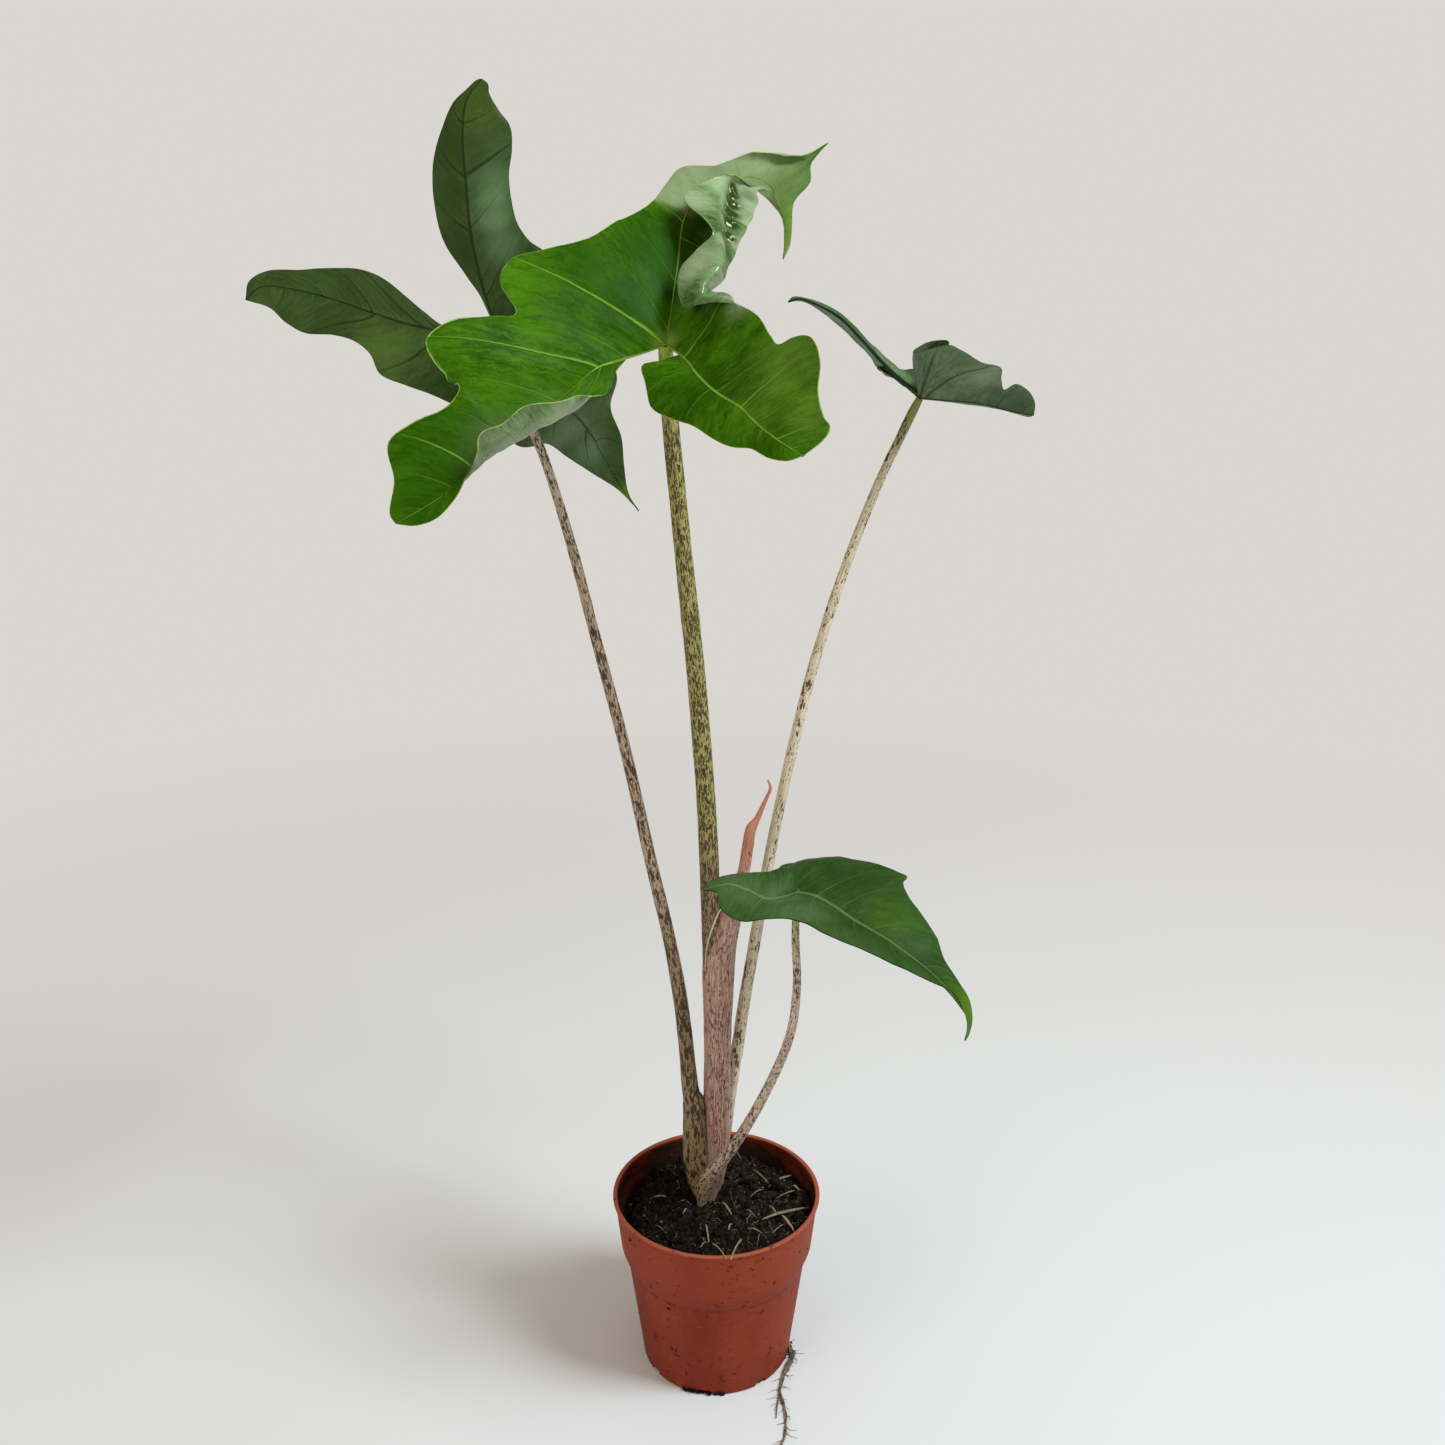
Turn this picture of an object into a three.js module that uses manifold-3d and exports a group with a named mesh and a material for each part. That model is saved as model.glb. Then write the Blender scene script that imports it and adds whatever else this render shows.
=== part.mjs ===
// Potted Alocasia nycteris: four bat-shaped leaves on mottled stems, in a small plastic nursery pot.
// Millimetres, +Z up. The origin is the centre of the pot's underside, and +Y points away from the viewer.
import * as THREE from "three";
import { mergeVertices } from "three/addons/utils/BufferGeometryUtils.js";
import Module from "manifold-3d";

const wasm = await Module();
wasm.setup();

// Driving sizes
const GAP = 0.3;
const POT_RADIUS = 60;
const POT_HEIGHT = 105.4;
const POT_WALL = 1.4;
const POT_BASE_RADIUS = 43.5;
const POT_BAND_BOTTOM = 74;
const POT_BAND_RADIUS = 55.6;
const POT_BODY_TOP = 64;
const POT_BODY_RADIUS = 51.8;
const POT_FLOOR = 1.8;
const RIM_LIP = 1.1;
const POT_SEGMENTS = 60;
const DRAIN_COUNT = 8;
const DRAIN_TURN = THREE.MathUtils.degToRad(-9);
const DRAIN_WIDTH = 7;
const DRAIN_HEIGHT = 3;
const DRAIN_INNER_RADIUS = 33;
const DRAIN_SPARE = 4;
const SOIL_LEVEL = 93.5;
const SOIL_BUMP = 1.1;
const SUNK_DEPTH = 11;
const SUNK_WIDTH = 9;
const SUNK_TURN = 1.08 * Math.PI;
const BLADE_THICKNESS = 0.8;
const RIB_RIDGE = 1.0;
const RIB_TAPER = 0.8;
const STEM_SIDES = 10;
const SHEATH_WALL = 1.4;
const ROOT_RADIUS = 0.9;
const ROOT_SIDE_RADIUS = 0.675;
const ROOT_SIDES = 6;
const ROOT_TAPER = 0.55;
const ROOT_CLEARANCE = 0.15;

// What grows in front cuts the neighbour behind it a little wider than the gap
const CUT_GAP = GAP + 0.05;

// Distances under which points count as one, and under which a cut's slivers are smoothed away
const MERGE_DISTANCE = 1e-4;
const SHARED_GRID = 0.01;
const SLIVER = 0.03;

// The photograph's camera: where a spot of the picture lies in space, once its distance behind
// the pot's axis is known. The pot's rim, taken as 120 mm across, sets the scale.
const PICTURE_CENTRE = 722.5;
const FOCAL_LENGTH = 1330.7;
const CAMERA_PITCH = THREE.MathUtils.degToRad(16.1);
const CAMERA_X = 3.58;
const CAMERA_DISTANCE = 669.25;
const CAMERA_HEIGHT = 581.65;

// The direction of the sight line through a spot of the picture
function sightLine(across, down) {
  const rise = (PICTURE_CENTRE - down) / FOCAL_LENGTH;
  const cos = Math.cos(CAMERA_PITCH);
  const sin = Math.sin(CAMERA_PITCH);
  return new THREE.Vector3((across - PICTURE_CENTRE) / FOCAL_LENGTH, cos + rise * sin, rise * cos - sin);
}

// The point seen at [across, down] in the picture that lies `away` mm behind the pot's axis
function seen([across, down, away]) {
  const line = sightLine(across, down);
  const camera = new THREE.Vector3(CAMERA_X, -CAMERA_DISTANCE, CAMERA_HEIGHT);
  return camera.addScaledVector(line, (away + CAMERA_DISTANCE) / line.y);
}

// The point seen at [across, down] in the picture that lies at the height `z`
function seenAtHeight([across, down], z) {
  const line = sightLine(across, down);
  const camera = new THREE.Vector3(CAMERA_X, -CAMERA_DISTANCE, CAMERA_HEIGHT);
  return camera.addScaledVector(line, (z - CAMERA_HEIGHT) / line.z);
}

// Leaves. Each has three ribs that start at the hub, where the stem joins, and sides that run from
// rib to rib. Points are [across, down, away]. A station of a side is the place on the rib, counted
// in rib points from the hub and negative on the rib where the side begins, then the points out
// from the rib, the margin last. A station without points has its margin on the rib itself.
const CENTRE_LEAF = {
  steps: 3,
  ribs: {
    left: [[666, 346, 0], [640, 355, -5], [615, 362, -12], [598, 368, -18], [573, 389, -26],
      [545, 412, -36], [506, 445, -48], [473, 469, -56], [440, 497, -62], [396, 524, -68]],
    front: [[666, 346, 0], [671, 310, 10], [677, 265, 26], [683, 222, 44], [697, 198, 64],
      [722, 183, 84], [750, 177, 102], [768, 184, 112], [778, 203, 116], [786, 228, 117], [783, 260, 114]],
    right: [[666, 346, 0], [684, 359, -14], [700, 378, -30], [718, 394, -44], [741, 408, -58],
      [756, 423, -68], [772, 436, -78], [788, 447, -86], [803, 456, -92]],
  },
  sides: [
    { to: "left", arch: 0.05, stations: [
      [1.5], [1.9, [616, 372, -14]], [2.5, [607, 393, -20]],
      [3.1, [590, 388, -24], [581, 407, -31], [578, 403, -39], [577, 396, -42]],
      [4, [562, 405, -34], [554, 422, -42], [556, 413, -50], [559, 402, -54]],
      [4.9, [534, 424, -42], [527, 436, -49], [526, 422, -58], [523, 407, -63]],
      [5.5, [512, 441, -49], [506, 448, -54], [505, 438, -62], [502, 424, -66]],
      [6.1, [491, 455, -54], [484, 462, -58], [482, 450, -66], [481, 434, -70]],
      [6.8, [474, 471, -58], [471, 474, -61], [472, 464, -67], [478, 451, -70]],
      [7.4, [459, 486, -61], [461, 484, -62], [463, 483, -63], [465, 480, -64]],
      [7.8, [455, 499, -62]], [8.4, [436, 519, -64]], [8.8, [413, 526, -67]], [9]] },
    { from: "left", to: "front", arch: 0.05, stations: [
      [-9], [-8.8, [390, 515, -68]], [-8.2, [394, 480, -66]], [-7.6, [388, 443, -64]],
      [-7.1, [413, 422, -60]], [-6.7, [446, 407, -54]], [-6.2, [459, 386, -50]], [-5.5, [441, 371, -50]],
      [-4.9, [424, 342, -50]], [-4.3, [446, 323, -44]], [-3.6, [486, 317, -34]], [-2.7, [516, 313, -24]],
      [-1.8, [500, 281, -16]], [-0.8, [511, 259, -8]], [0, [543, 250, 0]], [0, [589, 238, 12]],
      [0.7, [612, 224, 22]], [1.6, [634, 214, 34]], [2.5, [653, 201, 48]], [3.3, [666, 184, 64]],
      [4.1, [681, 168, 80]], [4.9, [716, 166, 98]], [5.7, [754, 162, 114]], [6.3, [776, 159, 120]],
      [6.8, [794, 156, 122]], [7.2, [808, 158, 122]], [7.4, [829, 142, 126]], [7.6, [811, 163, 122]],
      [8, [810, 182, 121]], [8.4, [794, 201, 119]], [8.9, [792, 224, 118]], [9.5, [790, 245, 116]], [10]] },
    { from: "front", to: "right", arch: 0.03, stations: [
      [-10], [-9.4, [784, 244, 116]], [-8.7, [782, 219, 117]], [-8.1, [771, 203, 116]],
      [-7.3, [762, 195, 110]],
      [-6.4, [756, 187, 106], [758, 190, 98], [753, 186, 88], [747, 184, 84]],
      [-5.6, [744, 195, 92], [757, 203, 78], [747, 190, 66], [728, 174, 66]],
      [-4.8, [734, 214, 78], [754, 213, 64], [735, 200, 48], [715, 180, 54]],
      [-4.2, [725, 222, 66], [750, 222, 54], [728, 212, 36], [692, 187, 40]],
      [-3.7, [718, 228, 56], [746, 231, 44], [722, 218, 28], [684, 200, 30]],
      [-3.1, [712, 238, 46], [739, 244, 34], [720, 232, 18], [702, 217, 20]],
      [-2.6, [706, 250, 38], [734, 257, 26], [720, 245, 10], [714, 234, 14]],
      [-2.1, [700, 264, 30], [727, 269, 18], [712, 262, 2], [697, 251, 10]],
      [-1.6, [694, 280, 20], [722, 280, 10], [703, 274, -4], [681, 268, 6]],
      [-1.1, [688, 296, 12], [716, 287, 4], [700, 286, -8], [678, 289, 0]],
      [-0.6, [684, 310, 6], [708, 290, -2], [702, 297, -12], [684, 308, -6]],
      [0, [688, 320, 0], [712, 291, -8], [706, 298, -16], [700, 304, -14]],
      [0.6, [702, 322, -8], [724, 293, -16], [720, 298, -22], [715, 302, -20]],
      [1.2, [714, 330, -16], [733, 301, -24], [735, 303, -26], [736, 304, -26]],
      [1.7, [756, 314, -32]], [2.4, [771, 336, -44]], [2.9, [779, 345, -48]], [3.4, [793, 337, -54]],
      [4, [812, 338, -64]], [4.7, [820, 360, -72]], [5.6, [818, 392, -80]], [6.5, [824, 417, -88]],
      [7, [830, 427, -92]], [7.6, [821, 442, -94]], [8]] },
    { from: "right", arch: 0.05, stations: [
      [-8], [-7.4, [788, 461, -90]], [-6.6, [768, 458, -82]], [-5.8, [751, 449, -74]], [-5, [731, 447, -66]],
      [-4.2, [713, 439, -56]], [-3.4, [693, 426, -46]], [-2.8, [672, 419, -36]], [-2.2, [652, 408, -28]],
      [-1.8, [646, 385, -22]], [-1.4, [642, 366, -17]], [-1.1, [656, 363, -14]], [-0.75]] },
  ],
};

const LEFT_LEAF = {
  steps: 3,
  ribs: {
    left: [[523, 388, 30], [500, 362, 24], [468, 343, 19], [437, 331, 16], [411, 325, 15],
      [375, 314, 14], [341, 302, 14], [301, 291, 15], [262, 287, 18], [246, 300, 20]],
    front: [[523, 388, 30], [548, 398, 50], [572, 412, 72], [590, 433, 94], [604, 458, 112],
      [620, 484, 126], [639, 511, 138]],
    right: [[523, 388, 30], [508, 350, 24], [492, 315, 18], [477, 262, 8], [470, 225, 1],
      [466, 180, -6], [463, 135, -10], [467, 100, -12], [482, 79, -12]],
  },
  sides: [
    { to: "left", arch: -0.05, stations: [
      [1], [1.7, [470, 333, 20]], [2.6, [441, 325, 18]], [3.4, [424, 312, 17]], [4.1, [405, 296, 17]],
      [4.9, [384, 279, 17]], [5.6, [362, 270, 17]], [6.3, [338, 268, 17]], [7, [301, 270, 18]],
      [7.7, [268, 271, 19]], [8.4, [249, 282, 20]], [9]] },
    { from: "left", to: "front", arch: -0.04, stations: [
      [-9], [-8.2, [270, 308, 17]], [-7.5, [287, 323, 13]], [-6.9, [305, 333, 10]], [-6.2, [333, 335, 9]],
      [-5.5, [354, 341, 8]], [-4.9, [370, 354, 7]], [-4.4, [380, 374, 6]], [-3.7, [405, 385, 6]],
      [-3, [430, 394, 8]], [-2.3, [452, 404, 12]], [-1.5, [478, 417, 20]], [0, [500, 432, 32]],
      [0, [519, 446, 44]], [0.8, [534, 446, 58]], [1.6, [548, 444, 74]], [2.6, [566, 456, 94]],
      [3.5, [592, 473, 112]], [4.6, [617, 489, 126]], [5.5, [633, 504, 135]], [6]] },
    { from: "front", to: "right", arch: -0.04, stations: [
      [-6], [-5.4, [629, 495, 130]], [-4.6, [624, 465, 118]], [-3.9, [621, 436, 106]],
      [-3.2, [610, 406, 94]], [-2.4, [617, 378, 80]], [-1.6, [606, 350, 64]], [-0.8, [586, 322, 48]],
      [0, [566, 298, 36]], [0.7, [560, 275, 28]], [1.4, [545, 252, 20]], [2.2, [529, 240, 13]],
      [3, [517, 222, 7]], [3.8, [511, 198, 3]], [4.5, [509, 174, 0]], [5.2, [512, 149, -3]],
      [5.9, [510, 126, -6]], [6.6, [499, 109, -8]], [7.3, [489, 94, -11]], [8]] },
    { from: "right", arch: -0.05, stations: [
      [-8], [-7.4, [467, 85, -12]], [-6.8, [454, 102, -10]], [-6.2, [443, 127, -7]], [-5.5, [435, 153, -3]],
      [-4.8, [433, 183, 0]], [-4.1, [436, 213, 4]], [-3.5, [445, 243, 8]], [-2.9, [463, 271, 12]],
      [-2.3, [479, 293, 16]], [-1.7, [490, 316, 19]], [-1]] },
  ],
};

const RIGHT_LEAF = {
  steps: 3,
  ribs: {
    left: [[920, 397, 20], [940, 399, 18], [964, 401, 15], [990, 405, 11], [1012, 411, 8], [1034, 415, 6]],
    front: [[920, 397, 20], [903, 382, 32], [884, 364, 44], [862, 340, 57], [840, 318, 68],
      [815, 304, 78], [798, 299, 84], [788, 302, 86]],
    right: [[920, 397, 20], [910, 389, 38], [899, 381, 56], [888, 374, 72], [880, 368, 84]],
  },
  sides: [
    { to: "left", arch: 0.05, stations: [
      [0], [1, [944, 401, 36]], [2, [965, 404, 44]], [3, [992, 408, 42]], [4, [1015, 413, 28]],
      [4.6, [1028, 417, 16]], [5]] },
    { from: "left", to: "front", arch: -0.06, stations: [
      [-5], [-4.7, [1035, 404, 0]], [-4.2, [1028, 391, -5]], [-3.8, [1016, 384, -8]], [-3.3, [1004, 390, -4]],
      [-2.8, [1001, 379, -8]], [-2.4, [1001, 369, -13]], [-1.8, [982, 363, -17]], [-1, [962, 351, -20]],
      [0, [951, 346, -20]], [0, [939, 347, -18]], [0, [925, 351, -13]],
      [0, [918, 384, 17], [916, 372, 12], [914, 361, 5], [914, 352, -2]],
      [0, [916, 384, 22], [914, 371, 19], [914, 358, 13], [917, 348, 9]],
      [0, [916, 385, 26], [916, 374, 26], [921, 358, 24], [931, 341, 20]],
      [0, [917, 388, 28], [919, 378, 31], [929, 362, 30], [949, 342, 26]],
      [0, [916, 389, 30], [917, 382, 35], [922, 374, 38], [932, 365, 38]],
      [0.5, [911, 385, 34], [911, 380, 39], [911, 375, 43], [911, 369, 46]],
      [1, [899, 369, 52]], [1.6, [893, 364, 54]], [2.4, [879, 352, 62]], [3.2, [862, 334, 70]],
      [4, [845, 317, 76]], [4.8, [826, 305, 80]], [5.6, [808, 299, 84]], [6.4, [793, 297, 87]], [7]] },
    { from: "front", to: "right", arch: 0.04, stations: [
      [-7], [-6.3, [799, 301, 90]], [-5.3, [815, 307, 95]], [-4.3, [836, 323, 98]], [-3.4, [856, 342, 98]],
      [-2.6, [870, 356, 95]], [-1.8, [876, 366, 92]], [0, [877, 363, 89]], [2.6, [878, 363, 93]],
      [3.4, [877, 367, 93]], [4]] },
    { from: "right", arch: -0.04, stations: [
      [-4], [-3.4, [884, 374, 80]], [-2.7, [893, 378, 62]], [-2, [903, 386, 46]], [-1]] },
  ],
};

const FRONT_LEAF = {
  steps: 3,
  ribs: {
    left: [[798, 893, -25], [792, 882, -14], [787, 874, 0], [788, 868, 14], [796, 863, 26]],
    front: [[798, 893, -25], [814, 896, -30], [832, 906, -37], [856, 922, -46], [882, 937, -54],
      [912, 958, -61], [940, 982, -64], [958, 1003, -64], [969, 1022, -62], [965, 1041, -60]],
    right: [[798, 893, -25], [784, 898, -32], [766, 899, -39], [748, 890, -44], [728, 884, -48],
      [703, 890, -52]],
  },
  sides: [
    { to: "left", arch: 0.03, stations: [
      [0], [1.2, [784, 878, -8]], [2, [779, 870, 4]], [2.8, [781, 866, 14]], [3.5, [787, 864, 22]], [4]] },
    { from: "left", to: "front", arch: 0.05, stations: [
      [-4], [-3.4, [807, 860, 30]], [-2.6, [820, 858, 30]], [-1.6, [837, 857, 26]], [0, [855, 860, 18]],
      [0.9, [872, 863, 8]], [1.7, [888, 868, -1]], [2.2, [899, 873, -7]], [2.4, [907, 877, -12]],
      [2.8, [903, 882, -15]], [3.3, [908, 896, -24]], [4.1, [922, 916, -36]], [5, [937, 939, -48]],
      [5.7, [944, 959, -54]], [6.4, [957, 979, -58]], [7.2, [969, 1000, -60]], [8, [972, 1018, -61]],
      [8.6, [969, 1034, -60]], [9]] },
    { from: "front", to: "right", arch: 0.05, stations: [
      [-9], [-8.4, [967, 1024, -63]], [-7.6, [962, 1007, -66]], [-6.8, [952, 992, -69]],
      [-6, [932, 982, -74]], [-5, [906, 970, -80]], [-4, [870, 953, -84]], [-2.8, [830, 936, -82]],
      [-1.5, [804, 923, -74]], [0, [789, 919, -68]], [0.8, [764, 919, -68]], [1.7, [745, 921, -70]],
      [2.5, [733, 918, -68]], [3.2, [722, 910, -64]], [3.8, [718, 902, -60]], [4.3, [718, 894, -57]],
      [4.7, [712, 891, -55]], [5]] },
    { from: "right", arch: 0.04, stations: [
      [-5], [-4.6, [711, 882, -45]], [-3.9, [728, 875, -36]], [-3, [750, 873, -29]], [-2.2, [768, 872, -23]],
      [-1.5, [778, 874, -18]], [-0.8, [788, 883, -18]], [0]] },
  ],
};

// Stems: points from below the soil to the leaf, as [across, down, away], with the half widths in
// millimetres across the picture and, where it differs, along the line of sight
const LEFT_STEM = [
  [[699, 1218, 12], 9.5, 7.5], [[699, 1180, 12], 9.5, 7.5], [[697, 1155, 11], 8.6, 7],
  [[693, 1125, 10.5], 6.2, 5.8], [[691, 1097, 11], 4.9], [[685.5, 1040, 12], 4.3],
  [[680.5, 1000, 13], 4.1], [[669.5, 940, 15], 3.6],
  [[650.5, 860, 17], 3.4], [[637, 800, 19], 3.2], [[623, 740, 21], 3.1], [[607, 680, 23], 3],
  [[591, 620, 25], 2.8], [[575.5, 560, 26], 2.7], [[558, 500, 28], 2.5], [[543, 455, 29], 2.4],
  [[531, 425, 30], 2.3], [[523, 390, 30], 2.2]];
const CENTRE_STEM = [
  [[716, 1216, 15], 5.4], [[715.5, 1100, 14], 5.4], [[714, 1000, 13], 5.4], [[712, 950, 12], 5.4],
  [[709, 860, 10], 5.3], [[706, 800, 9], 5.2], [[701.5, 740, 8], 5], [[696.5, 680, 7], 4.9],
  [[690.5, 620, 5], 4.8], [[684, 560, 4], 4.5], [[678, 500, 3], 4.4], [[672, 440, 1], 4.2],
  [[668, 390, 0], 4], [[665.5, 347, 0], 3.6]];
const RIGHT_STEM = [
  [[720, 1210, 26], 4.6], [[722, 1160, 26], 4.4], [[724.5, 1130, 25.5], 4.1], [[730.3, 1090, 25], 3.8],
  [[738.5, 1040, 23], 3.6], [[744.5, 1000, 22], 3.5], [[755, 940, 21], 3.3], [[769, 860, 20], 3.1],
  [[781, 800, 20], 3], [[794.5, 740, 20], 2.9], [[809.5, 680, 20], 2.8], [[827.5, 620, 20], 2.7],
  [[848, 560, 20], 2.5], [[871.5, 500, 20], 2.35], [[884.5, 470, 20], 2.3], [[900, 438, 20], 2.3],
  [[912, 413, 19], 2.3], [[918.5, 401, 18.5], 2]];
const FRONT_STEM = [
  [[706, 1215, 8], 7, 5], [[706, 1190, 7], 6.5, 5], [[713, 1172, 3], 5.6, 4], [[728, 1154, -3], 3.4, 3],
  [[744, 1130, -8], 3], [[761.5, 1100, -13], 2.8], [[781, 1060, -18], 2.6], [[788.5, 1040, -20], 2.5],
  [[793.5, 1020, -21], 2.4], [[797, 980, -23], 2.2], [[795.5, 940, -24], 2.1], [[796, 915, -25], 2],
  [[798, 893, -25], 2]];
const CATAPHYLL = [
  [[716, 1216, 15], 8.2], [[716, 1175, 15], 8.2], [[716, 1140, 14.5], 8], [[717, 1097, 14], 7.8],
  [[717.5, 1040, 13.5], 7.6], [[718, 1000, 13.5], 8.2], [[720, 960, 13], 8.4], [[726, 930, 12], 7.6],
  [[733, 903, 11], 6], [[740, 885, 10], 4.4], [[744, 870, 9.5], 3.3], [[748, 845, 9], 3.2],
  [[751, 829, 9], 3], [[757, 819, 9], 1.7], [[762, 808, 9], 1.3], [[767, 797, 9], 1],
  [[770.5, 788, 9], 0.8], [[768, 780, 9], 0.5]];

// Root strands on the surface, from inside the drain hole outwards, as [across, down]
const ROOT_MAIN = [
  [774, 1345], [781.5, 1346], [787, 1347.5], [791, 1350], [791.5, 1355], [788.5, 1363], [784, 1373],
  [781, 1385], [780.5, 1393], [783, 1403], [785.5, 1415], [786, 1427], [784, 1438], [780, 1448],
  [778, 1460], [781, 1472]];
const ROOT_SIDE = [
  [775, 1346], [783, 1346.5], [789, 1348.5], [792.5, 1352], [791.5, 1362], [785, 1375], [780, 1387],
  [779, 1397], [777, 1406], [776, 1418]];

// Geometry helpers

function solidOf(geometry) {
  geometry.deleteAttribute("normal");
  geometry.deleteAttribute("uv");
  const merged = mergeVertices(geometry, MERGE_DISTANCE);
  const mesh = new wasm.Mesh({
    numProp: 3,
    vertProperties: new Float32Array(merged.attributes.position.array),
    triVerts: new Uint32Array(merged.index.array),
  });
  return new wasm.Manifold(mesh);
}

function geometryOf(solid) {
  const mesh = solid.getMesh();
  const geometry = new THREE.BufferGeometry();
  geometry.setAttribute("position", new THREE.BufferAttribute(mesh.vertProperties, 3));
  geometry.setIndex(new THREE.BufferAttribute(mesh.triVerts, 1));
  return geometry;
}

// The largest body that a cut leaves, without slivers
function mainPiece(solid) {
  const pieces = solid.simplify(SLIVER).decompose();
  pieces.sort((a, b) => b.volume() - a.volume());
  return pieces[0];
}

function indexedGeometry(points, triangles) {
  const geometry = new THREE.BufferGeometry();
  geometry.setFromPoints(points);
  geometry.setIndex(triangles.flat());
  return geometry;
}

function curveThrough(points) {
  return new THREE.CatmullRomCurve3(points, false, "centripetal");
}

// A point of a curve, counted in its own points
function pointAt(curve, place) {
  return curve.getPoint(THREE.MathUtils.clamp(place / (curve.points.length - 1), 0, 1));
}

// A closed stem: a ring of `sides` points around each point of a curve, each ring with its own half
// widths across the `facing` direction and along it. With `extra` it is that much thicker and longer
function sweep(points, widths, sides, extra, facing) {
  const curve = curveThrough(points);
  const vertices = [];
  const triangles = [];
  const last = points.length - 1;
  points.forEach((point, ring) => {
    const centre = point.clone();
    const tangent = curve.getTangent(ring / last);
    const across = facing.clone().cross(tangent).normalize();
    const away = new THREE.Vector3().crossVectors(tangent, across);
    if (ring === 0) centre.addScaledVector(tangent, -extra);
    if (ring === last) centre.addScaledVector(tangent, extra);
    for (let side = 0; side < sides; side++) {
      const turn = (2 * Math.PI * side) / sides;
      const spot = centre.clone();
      spot.addScaledVector(across, (widths[ring][0] + extra) * Math.cos(turn));
      spot.addScaledVector(away, (widths[ring][1] + extra) * Math.sin(turn));
      vertices.push(spot);
    }
  });
  for (let ring = 0; ring < last; ring++) {
    for (let side = 0; side < sides; side++) {
      const next = (side + 1) % sides;
      const a = ring * sides + side;
      const b = ring * sides + next;
      triangles.push([a, b, b + sides], [a, b + sides, a + sides]);
    }
  }
  const end = last * sides;
  for (let side = 1; side + 1 < sides; side++) {
    triangles.push([0, side + 1, side], [end, end + side, end + side + 1]);
  }
  return indexedGeometry(vertices, triangles);
}

// A stem seen along +Y. With `extra` it is the room that the stem needs in its neighbours
function stem(list, extra = 0) {
  const points = list.map(([spot]) => seen(spot));
  const widths = list.map(([, wide, deep]) => [wide, deep ?? wide]);
  return solidOf(sweep(points, widths, STEM_SIDES, extra, new THREE.Vector3(0, 1, 0)));
}

// Leaf blades

// Rows of blade points where a side turns at the hub, and points out from the rib on a flat side,
// as parts of its width, and on a folded one, counted in its given points
const FAN_STEPS = 3;
const FLAT_ROWS = [0, 0.08, 0.38, 0.7, 1];
const FOLDED_ROWS = [0, 0.25, 1, 1.6, 2, 2.5, 3.2, 4];
const NORMAL_REACH = 2;

// The places along a side where a row of blade points goes: whole fractions of the rib points, so
// that the two sides of a rib share their points, and a fan of rows where the side turns at the hub
function placesAlong(stations, steps) {
  const places = [];
  for (let i = 0; i + 1 < stations.length; i++) {
    const from = stations[i][0];
    const to = stations[i + 1][0];
    if (from === to) {
      for (let k = 0; k < FAN_STEPS; k++) {
        places.push({ onRib: from, along: i + k / FAN_STEPS });
      }
      continue;
    }
    const first = Math.ceil(from * steps - 1e-6);
    for (let k = first; k < to * steps - 1e-6; k++) {
      places.push({ onRib: k / steps, along: i + (k / steps - from) / (to - from) });
    }
  }
  places.push({ onRib: stations.at(-1)[0], along: stations.length - 1 });
  return places;
}

// All curves of a side run through the same number of points out from the rib
function pointsOut(station, ribPoint, count) {
  const given = station.slice(1).map(seen);
  if (given.length === count) return given;
  const margin = given.at(-1) ?? ribPoint;
  return Array.from({ length: count }, (_, k) => ribPoint.clone().lerp(margin, (k + 1) / count));
}

function bladeSide(ribs, side, steps) {
  const ribPoint = (onRib) => {
    const rib = onRib < 0 || !side.to ? side.from : side.to;
    return pointAt(ribs[rib], Math.abs(onRib));
  };
  const count = Math.max(...side.stations.map((station) => station.length - 1));
  const stations = side.stations.map((station) => pointsOut(station, ribPoint(station[0]), count));
  const lines = Array.from({ length: count }, (_, k) => {
    return curveThrough(stations.map((points) => points[k]));
  });
  const rows = count === 1 ? FLAT_ROWS : FOLDED_ROWS;
  const grid = placesAlong(side.stations, steps).map(({ onRib, along }) => {
    const out = curveThrough([ribPoint(onRib), ...lines.map((line) => pointAt(line, along))]);
    return rows.map((row) => pointAt(out, row));
  });
  if (count === 1) archSide(grid, side.arch);
  return grid;
}

// Bulges a flat side along its own normal, most at half way from rib to margin
function archSide(grid, arch) {
  const last = FLAT_ROWS.length - 1;
  const normals = grid.map((row, i) => {
    const before = grid[Math.max(i - 1, 0)];
    const after = grid[Math.min(i + 1, grid.length - 1)];
    const forward = after[last].clone().sub(before[last]).add(after[0]).sub(before[0]);
    const out = row[last].clone().sub(row[0]);
    return forward.cross(out).normalize();
  });
  grid.forEach((row, i) => {
    const width = row[last].distanceTo(row[0]);
    const normal = new THREE.Vector3();
    for (let k = -NORMAL_REACH; k <= NORMAL_REACH; k++) {
      normal.add(normals[THREE.MathUtils.clamp(i + k, 0, grid.length - 1)]);
    }
    normal.normalize();
    row.forEach((point, j) => {
      const v = FLAT_ROWS[j];
      point.addScaledVector(normal, arch * width * 4 * v * (1 - v));
    });
  });
}

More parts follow.
